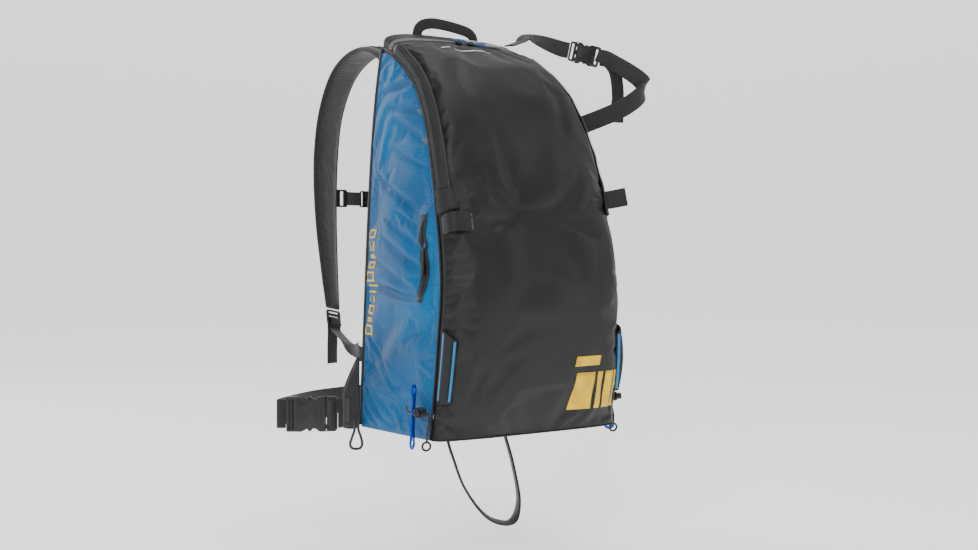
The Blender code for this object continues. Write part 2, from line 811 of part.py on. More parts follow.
def make_strap_webbing():
    """From the shell's lower corner up behind the ladder lock, through its lower slot and down in
    front of it, with its tail hanging free."""
    frame = ladder_frame()
    to_pack = -1 if (frame.to_3x3() @ Vector((0, 0, 1))).y > 0 else 1
    level = LADDER_LOCK / 2 + WEBBING / 2 + 0.0011

    def spot(along, height):
        return frame @ Vector((LADDER_SLOT + along, 0, to_pack * height * level))

    root = at(-half_width(STRAP_ANCHOR_UP) - 0.0016, -0.0010, STRAP_ANCHOR_UP)
    path = [
        root,
        root + Vector((0.0004, 0.012, 0.004)),
        root.lerp(spot(0.020, 1.0), 0.5) + Vector((0, 0.004, 0)),
        spot(0.020, 1.0),
        spot(0.010, 1.0),
        spot(0.0045, 1.0),
        spot(0.0012, 0.70),
        spot(-0.0002, 0.25),
        spot(-0.0002, -0.25),
        spot(0.0012, -0.70),
        spot(0.0045, -1.0),
        spot(0.012, -1.05),
        spot(0.022, -1.3) + Vector((0, 0, -0.004)),
        spot(0.026, -1.4) + Vector((0, 0.001, -0.020)),
        spot(0.026, -1.4) + Vector((0, 0.001, -0.038)),
    ]
    across = frame.to_3x3() @ Vector((0, 1, 0))
    sides = [Vector((0.0, 0.0, 1.0))] * 2 + [across] * (len(path) - 2)
    strap = band("strap_webbing_left", path, sides, HARNESS_WEBBING, WEBBING, BLACK_WEBBING, 2)
    mirrored(strap, "strap_webbing_right")


# --- sternum strap ------------------------------------------------------------------------------

STERNUM_SHARE = 0.690
CLIP = (0.018, 0.026)
CLIP_THICKNESS = 0.004


def sternum_ends():
    """The middles of the two clips, on the inner edge of each strap."""
    place, _, across = strap_spot(STERNUM_SHARE)
    left = place + across * (STRAP_WIDTH / 2 + CLIP[0] / 2 + 0.002)
    return left, Vector((-left.x, left.y, left.z))


def make_sternum_strap():
    left, right = sternum_ends()
    up = (0, 0, 1)
    for name, place in (("left", left), ("right", right)):
        frame = pose(place, (1, 0, 0), (0, 0, 1))
        outline = slot_hole(0, CLIP[1], CLIP[0])
        hole = slot_hole(0, 0.021, 0.006)
        plate(f"sternum_clip_{name}", [outline, hole], CLIP_THICKNESS, frame, BLACK_PLASTIC)
    span = right.x - left.x
    meet = left + Vector((span * 0.30, 0.006, 0))
    frame = make_buckle("sternum", HARNESS_WEBBING, meet, (-1, 0, 0), up)[0]
    size = HARNESS_WEBBING / 0.038
    male_end = frame @ Vector((0.0150 * size + 0.0006, 0, 0))
    start = left + Vector((CLIP[0] / 2 + 0.0008, 0, 0))
    short = [start, start.lerp(male_end, 0.5) + Vector((0, 0.001, 0)), male_end]
    width, thick = HARNESS_WEBBING, WEBBING
    band("sternum_webbing_left", short, up, width, thick, BLACK_WEBBING, 2)
    female_end = frame @ Vector((-0.053 * size - 0.0008, 0, 0))
    finish_at = right - Vector((CLIP[0] / 2 + 0.0008, 0, 0))
    sag = Vector((0, 0.010, -0.006))
    long = [female_end, female_end.lerp(finish_at, 0.5) + sag, finish_at]
    band("sternum_webbing_right", long, up, width, thick, BLACK_WEBBING, 5)


# --- haul loop, ski straps and axe holders ------------------------------------------------------


def make_haul_loop():
    behind = FOAM + CLEARANCE + WEBBING  # behind the back plane, clear of the foam back
    path = [
        at(x, -behind, SHELL_HEIGHT + rise)
        for x, rise in (
            (-0.050, -0.023),
            (-0.050, -0.004),
            (-0.050, 0.015),
            (-0.045, 0.035),
            (-0.023, 0.043),
            (0.018, 0.040),
            (0.043, 0.033),
            (0.048, 0.015),
            (0.048, -0.004),
            (0.048, -0.023),
        )
    ]
    line = smooth(path, 1)
    sides = []
    for i in range(len(line)):
        along = line[min(i + 1, len(line) - 1)] - line[max(i - 1, 0)]
        sides.append(Vector((-along.z, 0.0, along.x)))
    band("haul_loop", path, sides, HAUL_WEBBING, WEBBING, BLACK_WEBBING)


def make_ski_strap():
    """The upper strap of the diagonal carry: a loop past the right shoulder with a buckle in it."""
    size = SKI_WEBBING / 0.038
    meet = at(0.188, 0.049, SHELL_HEIGHT + 0.015)
    way = Vector((0.80, -0.52, -0.22)).normalized()
    frame = make_buckle("ski", SKI_WEBBING, meet, -way, (0.1, 0.25, 1.0))[0]
    across = frame.to_3x3() @ Vector((0, 1, 0))
    male_end = frame @ Vector((0.0150 * size + 0.0008, 0, 0))
    shoulder = wrapped(0.5 * (ZIP_SHARE + 1), 0.72, lift=0.0022)
    rear = [
        shoulder + Vector((-0.016, 0.0, 0.0085)),
        shoulder + Vector((0.004, 0.0, 0.0160)),
        shoulder + Vector((0.022, 0.002, 0.0240)),
        male_end - way * 0.014,
        male_end,
    ]
    flat = Vector((0.0, 1.0, 0.10))
    sides = [flat, flat, flat.lerp(across, 0.4), across, across]
    band("ski_strap_rear", rear, sides, SKI_WEBBING, WEBBING, BLACK_WEBBING)
    female_end = frame @ Vector((-0.053 * size - 0.0008, 0, 0))
    sewn = SHELL_HEIGHT - 0.109
    side = half_width(sewn) + SIDE_BULGE
    front = [
        at(side + 0.0015, 0.060, sewn),
        at(side + 0.0035, 0.078, sewn + 0.003),
        at(side + 0.020, 0.100, sewn + 0.010),
        at(0.212, 0.132, sewn + 0.040),
        at(0.250, 0.126, sewn + 0.074),
        female_end + way * 0.014,
        female_end,
    ]
    upright = Vector((0.0, 0.0, 1.0))
    sides = [upright] * 3 + [upright.lerp(across, 0.5), across, across, across]
    band("ski_strap_front", front, sides, SKI_WEBBING, WEBBING, BLACK_WEBBING)


def make_ski_loop():
    """The fixed lower loop of the diagonal carry, hanging from the left front corner of the base."""
    path = [
        at(-0.108, 0.150, -0.0060),
        at(-0.112, 0.166, -0.022),
        at(-0.104, 0.182, -0.062),
        at(-0.080, 0.196, -0.098),
        at(-0.044, 0.196, -0.108),
        at(-0.020, 0.182, -0.086),
        at(-0.012, 0.160, -0.044),
        at(-0.012, 0.142, -0.0060),
    ]
    side = Vector((0.50, 0.87, 0.0))
    band("ski_loop_lower", path, side, SKI_WEBBING, 0.003, BLACK_WEBBING)


AXE_HOLDER_UP = 0.262
RIGHT_AXE_HOLDER_UP = 0.298
AXE_HOLDER_WIDTH = 0.025


def make_axe_holders():
    """A band round the left corner for an axe's shaft, and its match on the right, pulled out."""
    share = share_where(lambda out, up: up >= AXE_HOLDER_UP)
    up = (wrapped(share + 0.02, -0.7) - wrapped(share - 0.02, -0.7)).normalized()
    lifts = (0.0018, 0.008, 0.011, 0.008, 0.0018)
    places = (-0.93, -0.82, -0.70, -0.58, -0.47)
    path = [wrapped(share, u, lift=lift) for u, lift in zip(places, lifts)]
    width, thick = AXE_HOLDER_WIDTH, 0.002
    band("axe_holder_left", path, up, width, thick, BLACK_WEBBING)
    share = share_where(lambda out, up: up >= RIGHT_AXE_HOLDER_UP)
    up = (wrapped(share + 0.02, 0.85) - wrapped(share - 0.02, 0.85)).normalized()
    path = [
        wrapped(share, 0.80, lift=0.0018),
        wrapped(share, 0.88, lift=0.0028),
        wrapped(share, 0.92, lift=0.0100),
        wrapped(share, 0.92, lift=0.0240),
    ]
    band("axe_holder_right", path, up, width, thick, BLACK_WEBBING)


TOGGLE_LENGTH = 0.081
TOGGLE_PIVOT = 0.006  # above the toggle's middle, so that it hangs upright


def corner_frame():
    """The axe holder at the right front corner: X down the toggle, Y away from the corner, Z to
    the front left, along the cord."""
    outward = Vector((0.809, -0.588, 0.0))
    place = at(half_width(0.034) + 0.0155, 0.150, 0.034)
    return pose(place, (0.06, -0.04, -1.0), outward)


def make_toggle():
    """A flat bar with an eye at either end, which goes through the hole in an axe's head."""
    frame = corner_frame()
    low, high = TOGGLE_LENGTH / 2 + TOGGLE_PIVOT, -TOGGLE_LENGTH / 2 + TOGGLE_PIVOT
    eye, waist = 0.0078, 0.0052
    outline = [(high + eye, eye), (high + eye * 0.3, eye * 0.7), (high, 0)]
    outline += [(high + eye * 0.3, -eye * 0.7), (high + eye, -eye)]
    outline += [(high + 3 * eye, -waist), (low - 3 * eye, -waist)]
    outline += [(low - eye, -eye), (low - eye * 0.3, -eye * 0.7), (low, 0)]
    outline += [(low - eye * 0.3, eye * 0.7), (low - eye, eye)]
    outline += [(low - 3 * eye, waist), (high + 3 * eye, waist)]
    holes = [circle(0.0042, (high + eye * 1.15, 0), 14), circle(0.0024, (0, 0), 10)]
    holes.append(circle(0.0042, (low - eye * 1.15, 0), 14))
    right = plate("axe_toggle_right", [outline, *holes], 0.0025, frame, BLUE_METAL)
    left = mirrored(right, "axe_toggle_left")
    pivot(left, Vector((-frame.translation.x, frame.translation.y, frame.translation.z)))


LOCK_AHEAD = 0.0105  # from the toggle to the cord lock's middle, along the cord
LOCK_RADIUS = 0.0065
LOCK_LENGTH = 0.017
LOCK_CORD_AT = -0.0040
PLUNGER_RADIUS = 0.0045
CORD_RADIUS = 0.0014


def lock_frame():
    """The right cord lock: Z along the barrel, away from the corner, X along the cord."""
    frame = corner_frame()
    turn = frame.to_3x3()
    middle = frame @ Vector((0, -LOCK_CORD_AT, LOCK_AHEAD))
    return pose(middle, turn @ Vector((0, 0, 1)), turn @ Vector((1, 0, 0)))


def make_cord_lock():
    frame = lock_frame()
    outward = frame.to_3x3() @ Vector((0, 0, 1))
    wanted = corner_frame().to_3x3() @ Vector((0, 1, 0))
    flip = 1 if outward.dot(wanted) > 0 else -1
    barrel = cylinder("cord_lock_right", LOCK_RADIUS, LOCK_LENGTH, frame, BLACK_PLASTIC)
    bore_depth = 0.008
    bore_at = frame @ Matrix.Translation((0, 0, flip * (LOCK_LENGTH / 2 - bore_depth / 2 + 0.0005)))
    bore_radius = PLUNGER_RADIUS + 0.0004
    bore = cylinder("lock_bore", bore_radius, bore_depth + 0.001, bore_at, None, CUTTERS)
    cut(barrel, bore)
    across = frame @ Matrix.Translation((0, 0, flip * LOCK_CORD_AT))
    across = across @ Matrix.Rotation(math.pi / 2, 4, "Y")
    cut(barrel, cylinder("lock_cord_hole", 0.0022, 0.03, across, None, CUTTERS, sides=12))
    plunger_at = frame @ Matrix.Translation((0, 0, flip * (LOCK_LENGTH / 2 + 0.0016)))
    plunger = cylinder("lock_plunger_right", PLUNGER_RADIUS, 0.0095, plunger_at, BLACK_PLASTIC)
    mirrored(barrel, "cord_lock_left")
    mirrored(plunger, "lock_plunger_left")


def make_axe_cord():
    """The elastic cord: from the corner seam through the toggle and the cord lock, then down."""
    frame = corner_frame()
    path = [
        frame @ Vector((-0.006, -0.0115, -0.014)),
        frame @ Vector((-0.002, -0.0060, -0.011)),
        frame @ Vector((0, -0.0010, -0.0060)),
        frame @ Vector((0, 0, 0.001)),
        frame @ Vector((0, 0, LOCK_AHEAD - 0.005)),
        frame @ Vector((0, 0, LOCK_AHEAD + 0.006)),
        frame @ Vector((0.003, 0.001, LOCK_AHEAD + 0.0105)),
        frame @ Vector((0.012, 0.003, LOCK_AHEAD + 0.0120)),
        frame @ Vector((0.024, 0.005, LOCK_AHEAD + 0.0110)),
        frame @ Vector((0.036, 0.004, LOCK_AHEAD + 0.0100)),
    ]
    cord = as_mesh(rod("axe_cord_right", path, CORD_RADIUS, BLACK_CORD, per_span=2))
    mirrored(cord, "axe_cord_left")


# --- the airbag system --------------------------------------------------------------------------

AIRBAG_UP = SHELL_HEIGHT - 0.164
INFLATOR_UP = AIRBAG_UP - 0.032
INFLATOR_OUT = 0.040
INFLATOR_X = 0.010
CYLINDER_X = -0.092
CYLINDER_UP = 0.022
CYLINDER_OUT = 0.036


def make_airbag():
    """The airbag, folded into its compartment behind the top of the flap."""
    middle = at(0.0, 0.0120 + AIRBAG[1] / 2, AIRBAG_UP + AIRBAG[2] / 2)
    block("airbag_folded", AIRBAG, Matrix.Translation(middle), RED_NYLON, bevel=0.008)


def make_cylinder():
    """The gas cylinder as a turned shape: flat foot, round shoulder and neck."""
    radius, length = CYLINDER_RADIUS, CYLINDER_LENGTH
    neck = 0.009
    arc = [
        (neck + (radius - neck) * math.sin(a), length - radius * 0.8 + radius * 0.8 * math.cos(a))
        for a in (math.pi / 2 * i / 5 for i in range(6))
    ]
    profile = [(0.0, length + 0.006), (neck, length + 0.006), *arc]
    profile += [(radius, 0.004), (radius - 0.004, 0.0), (0.0, 0.0)]
    mesh = bpy.data.meshes.new("gas_cylinder")
    points = [(r, 0.0, z) for r, z in profile]
    mesh.from_pydata(points, [(i, i + 1) for i in range(len(points) - 1)], [])
    obj = put("gas_cylinder", mesh, STEEL)
    obj.matrix_world = Matrix.Translation(at(CYLINDER_X, CYLINDER_OUT, CYLINDER_UP))
    screw = obj.modifiers.new("turned", "SCREW")
    screw.axis = "Z"
    screw.steps = screw.render_steps = 20
    screw.use_merge_vertices = True
    screw.merge_threshold = 0.0001
    top = CYLINDER_UP + length + 0.0065
    valve_at = Matrix.Translation(at(CYLINDER_X, CYLINDER_OUT, top + 0.012))
    cylinder("cylinder_valve", VALVE_RADIUS, 0.024, valve_at, METAL)


def make_inflator():
    """The inflator under the airbag, with the firing lever at its right end."""
    middle = at(INFLATOR_X, INFLATOR_OUT, INFLATOR_UP)
    lying = Matrix.Translation(middle) @ Matrix.Rotation(math.pi / 2, 4, "Y")
    cylinder("inflator_body", INFLATOR_RADIUS, INFLATOR_LENGTH, lying, METAL, sides=24)
    valve_top = CYLINDER_UP + CYLINDER_LENGTH + 0.0065 + 0.024
    hose = [
        at(CYLINDER_X, CYLINDER_OUT, valve_top + 0.0008),
        at(CYLINDER_X, CYLINDER_OUT, valve_top + 0.020),
        at(CYLINDER_X + 0.010, CYLINDER_OUT, INFLATOR_UP - 0.010),
        at(CYLINDER_X + 0.030, INFLATOR_OUT, INFLATOR_UP),
        at(INFLATOR_X - INFLATOR_LENGTH / 2 - 0.0008, INFLATOR_OUT, INFLATOR_UP),
    ]
    rod("inflator_hose", hose, 0.0045, BLACK_PLASTIC)
    end_x = INFLATOR_X + INFLATOR_LENGTH / 2
    frame = pose(at(end_x + 0.0025, INFLATOR_OUT, INFLATOR_UP), (0, -1, 0), (0, 0, 1))
    outline = [(-0.004, -0.005), (0.004, -0.005), (0.005, 0.004), (0.0035, 0.024), (-0.0035, 0.024)]
    outline.append((-0.005, 0.004))
    lever = plate("firing_lever", [outline, circle(0.0016, (0, 0.019), 8)], 0.003, frame, BLUE_METAL)
    pivot(lever, frame @ Vector((0, -0.005, 0)))


DOCK_SHARE = (0.50, 0.56)
DOCK_RADIUS = 0.0075
HANDLE_STEM = 0.0045


def dock_frame():
    """The handle's dock on the right strap: Z down along the strap, Y across it, X off its face."""
    place, along, across = strap_spot(sum(DOCK_SHARE) / 2)
    flip = Matrix.Diagonal((-1, 1, 1, 1))
    place, along, across = flip @ place.to_4d(), flip @ along.to_4d(), flip @ across.to_4d()
    place, along, across = place.to_3d(), along.to_3d(), across.to_3d()
    face = along.cross(across).normalized()
    if face.y < 0:
        face = -face
    matrix = Matrix((face, along.cross(face).normalized(), along)).transposed().to_4x4()
    matrix.translation = place + face * (STRAP_THICKNESS / 2 + DOCK_RADIUS + 0.0010)
    return matrix


def make_trigger():
    frame = dock_frame()
    dock = cylinder("trigger_dock", DOCK_RADIUS, 0.028, frame, BLACK_PLASTIC)
    cut(dock, cylinder("dock_bore", HANDLE_STEM + 0.0004, 0.040, frame, None, CUTTERS))
    stem = 0.034
    stem_at = frame @ Matrix.Translation((0, 0, 0.004 + stem / 2 - 0.010))
    handle = cylinder("trigger_handle", HANDLE_STEM, stem, stem_at, ORANGE_PLASTIC)
    bar = (0.011, 0.040, 0.014)
    grip_at = frame @ Matrix.Translation((0, 0, 0.0155 + bar[2] / 2))
    grip = block("handle_grip", bar, grip_at, None, CUTTERS, bevel=0.003)
    cut(handle, grip, "UNION")
    route = [frame @ Vector((0, 0, -0.0148)), frame @ Vector((0, 0, -0.022))]
    clear = STRAP_THICKNESS / 2 + CABLE_RADIUS + 0.0025
    outer = Vector((0.0, 1.0, 0.0))
    for share in (0.44, 0.38, 0.32, 0.26, 0.21):
        place, along, across = strap_spot(share)
        face = along.cross(across).normalized()
        outer = face if face.dot(outer) > 0 else -face  # it turns with the strap
        spot = place + outer * clear
        route.append(Vector((-spot.x, spot.y, spot.z)))
    hole = cable_hole()
    down = INFLATOR_UP + 0.019
    lever = INFLATOR_X + INFLATOR_LENGTH / 2
    route += [
        at(hole.x - 0.006, -0.048, hole.y + 0.049),
        at(hole.x + 0.006, -0.036, hole.y + 0.031),
        at(hole.x + 0.004, -0.020, hole.y + 0.012),
        at(hole.x, -0.009, hole.y + 0.001),
        at(hole.x, 0.004, hole.y - 0.002),
        at(hole.x + 0.003, 0.012, hole.y - 0.012),
        at(hole.x + 0.006, 0.022, hole.y - 0.034),
        at(hole.x + 0.005, 0.034, AIRBAG_UP + 0.020),
        at(lever + 0.045, INFLATOR_OUT - 0.004, down + 0.001),
        at(lever + 0.026, INFLATOR_OUT, down),
        at(lever + 0.018, INFLATOR_OUT, down),
    ]
    rod("trigger_cable", route, CABLE_RADIUS, BLACK_CORD)


def main():
    make_shell()
    make_flap()
    make_zip_chain()
    make_main_sliders()
    make_pocket_slider()
    make_back()
    make_hip_belt()
    make_shoulder_straps()
    make_ladder_locks()
    make_strap_webbing()
    make_sternum_strap()
    make_haul_loop()
    make_ski_strap()
    make_ski_loop()
    make_axe_holders()
    make_toggle()
    make_cord_lock()
    make_axe_cord()
    make_airbag()
    make_cylinder()
    make_inflator()
    make_trigger()


main()
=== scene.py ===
import math


import bmesh
import bpy
from mathutils import Matrix, Vector, noise
from mathutils.bvhtree import BVHTree


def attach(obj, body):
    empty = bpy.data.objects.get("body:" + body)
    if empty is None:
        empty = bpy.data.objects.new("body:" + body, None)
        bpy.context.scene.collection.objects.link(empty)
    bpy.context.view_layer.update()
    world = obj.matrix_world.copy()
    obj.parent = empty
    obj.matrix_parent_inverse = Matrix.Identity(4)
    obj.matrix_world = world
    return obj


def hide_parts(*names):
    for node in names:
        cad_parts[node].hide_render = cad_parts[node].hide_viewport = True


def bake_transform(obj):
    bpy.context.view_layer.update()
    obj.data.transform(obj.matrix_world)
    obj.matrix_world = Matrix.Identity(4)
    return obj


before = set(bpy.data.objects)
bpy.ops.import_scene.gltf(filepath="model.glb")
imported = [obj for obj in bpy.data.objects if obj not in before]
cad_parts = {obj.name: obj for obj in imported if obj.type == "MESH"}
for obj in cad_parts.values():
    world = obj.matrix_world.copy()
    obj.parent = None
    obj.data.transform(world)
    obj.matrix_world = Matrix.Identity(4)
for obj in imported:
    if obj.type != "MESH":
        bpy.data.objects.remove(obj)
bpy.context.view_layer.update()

print("frame loaded")

# ---- camera, light and floor

camera = {
    "azimuth": -36.3,
    "elevation": 0.9,
    "distance": 1.755,
    "lens": 47.9,
    "target": (0.001, -0.105, 0.127),
}


def setCamera():
    turn, rise = math.radians(camera["azimuth"]), math.radians(camera["elevation"])
    back = Vector((math.sin(turn) * math.cos(rise), -math.cos(turn) * math.cos(rise), math.sin(rise)))
    data = bpy.data.cameras.new("camera")
    data.lens = camera["lens"]
    data.sensor_width = 36
    holder = bpy.data.objects.new("camera", data)
    bpy.context.scene.collection.objects.link(holder)
    holder.location = Vector(camera["target"]) + back * camera["distance"]
    holder.rotation_mode = "QUATERNION"
    holder.rotation_quaternion = (-back).to_track_quat("-Z", "Y")
    bpy.context.scene.camera = holder


setCamera()

lights = (  # name, place, power in watts, size in metres
    ("softboxFront", (-1.9, -1.7, 1.6), 40, 1.3),
    ("softboxRight", (2.3, -1.7, 1.5), 12, 1.6),
    ("softboxTop", (0.1, -0.2, 2.4), 22, 1.2),
    ("softboxBehind", (-1.0, 2.3, 1.4), 22, 1.6),
)


def setLights():
    for name, spot, power, size in lights:
        data = bpy.data.lights.new(name, "AREA")
        data.energy, data.size = power, size
        lamp = bpy.data.objects.new(name, data)
        bpy.context.scene.collection.objects.link(lamp)
        lamp.location = spot
        lamp.rotation_mode = "QUATERNION"
        lamp.rotation_quaternion = (Vector((0, -0.1, 0.15)) - Vector(spot)).to_track_quat("-Z", "Y")
    world = bpy.data.worlds.new("studio")
    world.use_nodes = True
    world.node_tree.nodes["Background"].inputs["Color"].default_value = (1.0, 1.0, 1.0, 1.0)
    world.node_tree.nodes["Background"].inputs["Strength"].default_value = 0.42
    bpy.context.scene.world = world


setLights()

# ---- small tools


def hexColor(code):
    # sRGB hex to the linear values that the shader takes
    parts = [int(code[i : i + 2], 16) / 255 for i in (1, 3, 5)]
    return (*[c / 12.92 if c <= 0.04045 else ((c + 0.055) / 1.055) ** 2.4 for c in parts], 1.0)


def addNode(tree, kind, settings=None, links=None):
    # settings: properties by name, or socket values by index or name; links: socket to output
    node = tree.nodes.new(kind)
    for key, value in (settings or {}).items():
        if isinstance(key, int) or key[0].isupper() or " " in key:
            node.inputs[key].default_value = value
        else:
            setattr(node, key, value)
    for key, source in (links or {}).items():
        tree.links.new(source, node.inputs[key])
    return node


def startMaterial(name, color, roughness, metallic=0.0, **extra):
    made = bpy.data.materials.new(name)
    made.use_nodes = True
    made.diffuse_color = hexColor(color)
    shader = made.node_tree.nodes["Principled BSDF"]
    shader.inputs["Base Color"].default_value = hexColor(color)
    shader.inputs["Roughness"].default_value = roughness
    shader.inputs["Metallic"].default_value = metallic
    for key, value in extra.items():
        shader.inputs[key.replace("_", " ")].default_value = value
    return made, made.node_tree, shader


def coordinates(tree, source, stretch=(1, 1, 1), turn=(0, 0, 0)):
    # source: "Object" in metres, or "UV" for the piece's own map, also laid out in metres
    place = addNode(tree, "ShaderNodeTexCoord")
    found = addNode(
        tree,
        "ShaderNodeMapping",
        {"Scale": stretch, "Rotation": turn},
        {"Vector": place.outputs[source]},
    )
    return found.outputs["Vector"]


def bumpFrom(tree, shader, heights, depth, strength=1.0):
    bump = addNode(
        tree, "ShaderNodeBump", {"Strength": strength, "Distance": depth}, {"Height": heights}
    )
    tree.links.new(bump.outputs["Normal"], shader.inputs["Normal"])


def mixColors(tree, share, dark, light):
    ramp = addNode(tree, "ShaderNodeValToRGB", None, {"Fac": share})
    ramp.color_ramp.elements[0].color = hexColor(dark)
    ramp.color_ramp.elements[1].color = hexColor(light)
    return ramp


def reach(tree, share, low, high, start=0.3, stop=0.7):
    found = addNode(
        tree,
        "ShaderNodeMapRange",
        {"From Min": start, "From Max": stop, "To Min": low, "To Max": high},
        {"Value": share},
    )
    return found.outputs["Result"]


def math2(tree, operation, a, b):
    node = addNode(tree, "ShaderNodeMath", {"operation": operation})
    for i, value in enumerate((a, b)):
        if isinstance(value, (int, float)):
            node.inputs[i].default_value = value
        else:
            tree.links.new(value, node.inputs[i])
    return node.outputs[0]


# ---- materials


def wovenCloth(name, dark, light, roughness, thread, source, grid=0.0, sheen=0.1):
    # plain-woven nylon: two crossing sets of threads; grid adds the thicker ripstop threads
    made, tree, shader = startMaterial(
        name, light, roughness, Sheen_Weight=sheen, Sheen_Roughness=0.5, Specular_IOR_Level=0.3
    )
    cloud = addNode(
        tree,
        "ShaderNodeTexNoise",
        {"Scale": 9.0, "Detail": 5.0, "Roughness": 0.6},
        {"Vector": coordinates(tree, "Object")},
    )
    sets = []
    if source == "Object":  # the panel stands in the plane of Y and Z
        split = addNode(tree, "ShaderNodeSeparateXYZ", None, {"Vector": coordinates(tree, source)})
        ways = (split.outputs["Y"], split.outputs["Z"])
    else:
        split = addNode(tree, "ShaderNodeSeparateXYZ", None, {"Vector": coordinates(tree, source)})
        ways = (split.outputs["X"], split.outputs["Y"])
    for way in ways:
        sets.append(
            math2(
                tree, "ABSOLUTE", math2(tree, "SINE", math2(tree, "MULTIPLY", way, math.pi / thread), 0), 0
            )
        )
    weave = math2(tree, "MULTIPLY", sets[0], sets[1])
    heights = weave
    shade = reach(tree, cloud.outputs["Fac"], 0.0, 1.0, 0.3, 0.7)
    if grid:
        lines = []
        for way in ways:
            fold = math2(tree, "PINGPONG", way, grid / 2)
            lines.append(reach(tree, fold, 1.0, 0.0, 0.0, grid * 0.09))
        ridge = math2(tree, "MAXIMUM", lines[0], lines[1])
        heights = math2(tree, "ADD", weave, math2(tree, "MULTIPLY", ridge, 1.5))
        shade = math2(tree, "ADD", math2(tree, "MULTIPLY", shade, 0.7), math2(tree, "MULTIPLY", ridge, 0.3))
    ramp = mixColors(tree, shade, dark, light)
    tree.links.new(ramp.outputs["Color"], shader.inputs["Base Color"])
    tree.links.new(
        reach(tree, cloud.outputs["Fac"], roughness - 0.06, roughness + 0.08), shader.inputs["Roughness"]
    )
    bumpFrom(tree, shader, heights, 0.00012, 0.55)
    return made


def grainedCloth(name, dark, light, roughness, grain, depth, sheen=0.0):
    # cloth with a matt polymer coating: fine pebbled grain, slightly cloudy
    made, tree, shader = startMaterial(name, light, roughness, Sheen_Weight=sheen)
    shader.inputs["Specular IOR Level"].default_value = 0.35
    spot = coordinates(tree, "Object")
    fine = addNode(tree, "ShaderNodeTexVoronoi", {"Scale": 1 / grain}, {"Vector": spot})
    wide = addNode(tree, "ShaderNodeTexNoise", {"Scale": 14.0, "Detail": 6.0}, {"Vector": spot})
    dust = addNode(tree, "ShaderNodeTexNoise", {"Scale": 260.0, "Detail": 3.0}, {"Vector": spot})
    both = math2(
        tree,
        "ADD",
        math2(tree, "MULTIPLY", wide.outputs["Fac"], 0.7),
        math2(tree, "MULTIPLY", dust.outputs["Fac"], 0.3)
    )
    ramp = mixColors(tree, reach(tree, both, 0.0, 1.0, 0.35, 0.65), dark, light)
    tree.links.new(ramp.outputs["Color"], shader.inputs["Base Color"])
    tree.links.new(reach(tree, both, roughness - 0.05, roughness + 0.07), shader.inputs["Roughness"])
    bumpFrom(tree, shader, fine.outputs["Distance"], depth, 0.5)
    return made


def webbingCloth(name, dark, light, roughness, rib):
    # narrow-woven strap: fine ribs across it and a tight selvedge down each edge
    made, tree, shader = startMaterial(name, light, roughness, Sheen_Weight=0.25, Sheen_Roughness=0.4)
    split = addNode(tree, "ShaderNodeSeparateXYZ", None, {"Vector": coordinates(tree, "UV")})
    run = math2(tree, "MULTIPLY", split.outputs["X"], math.pi / rib)
    rows = math2(tree, "MULTIPLY", split.outputs["Y"], math.pi / (rib * 1.3))
    offset = math2(tree, "MULTIPLY", math2(tree, "SINE", rows, 0), 1.2)
    ribs = math2(tree, "ABSOLUTE", math2(tree, "SINE", math2(tree, "ADD", run, offset), 0), 0)
    cords = math2(tree, "ABSOLUTE", math2(tree, "SINE", rows, 0), 0)
    weave = math2(tree, "ADD", math2(tree, "MULTIPLY", ribs, 0.65), math2(tree, "MULTIPLY", cords, 0.35))
    ramp = mixColors(tree, weave, dark, light)
    tree.links.new(ramp.outputs["Color"], shader.inputs["Base Color"])
    bumpFrom(tree, shader, weave, 0.00035, 0.7)
    return made


def braidedCord(name, dark, light, roughness, strand, crownHighlight=None):
    # braided sheath: two sets of strands winding opposite ways round the cord
    made, tree, shader = startMaterial(name, light, roughness, Sheen_Weight=0.2)
    split = addNode(tree, "ShaderNodeSeparateXYZ", None, {"Vector": coordinates(tree, "UV")})
    along = math2(tree, "MULTIPLY", split.outputs["X"], math.pi / strand)
    around = math2(tree, "MULTIPLY", split.outputs["Y"], math.pi / strand)
    right = math2(tree, "SINE", math2(tree, "ADD", along, around), 0)
    left = math2(tree, "SINE", math2(tree, "SUBTRACT", along, around), 0)
    weave = math2(tree, "ABSOLUTE", math2(tree, "MULTIPLY", right, left), 0)
    ramp = mixColors(tree, weave, dark, light)
    # the palest colour, on the top of each strand crossing where the bump is highest, is a painted highlight
    if crownHighlight:
        ramp.color_ramp.elements.new(0.93).color = hexColor(light)
        ramp.color_ramp.elements[-1].color = hexColor(crownHighlight)
    tree.links.new(ramp.outputs["Color"], shader.inputs["Base Color"])
    bumpFrom(tree, shader, weave, 0.0003, 0.8)
    return made


def spacerMesh(name, dark, light, hole):
    # knitted spacer mesh: rows of round holes over a soft, slightly paler ground
    made, tree, shader = startMaterial(name, light, 0.85, Sheen_Weight=0.3, Sheen_Roughness=0.6)
    cells = addNode(
        tree,
        "ShaderNodeTexVoronoi",
        {"Scale": 1 / hole, "Randomness": 0.25},
        {"Vector": coordinates(tree, "Object")},
    )
    walls = reach(tree, cells.outputs["Distance"], 0.0, 1.0, 0.18, 0.42)
    ramp = mixColors(tree, walls, dark, light)
    tree.links.new(ramp.outputs["Color"], shader.inputs["Base Color"])
    bumpFrom(tree, shader, walls, 0.0006, 0.8)
    return made


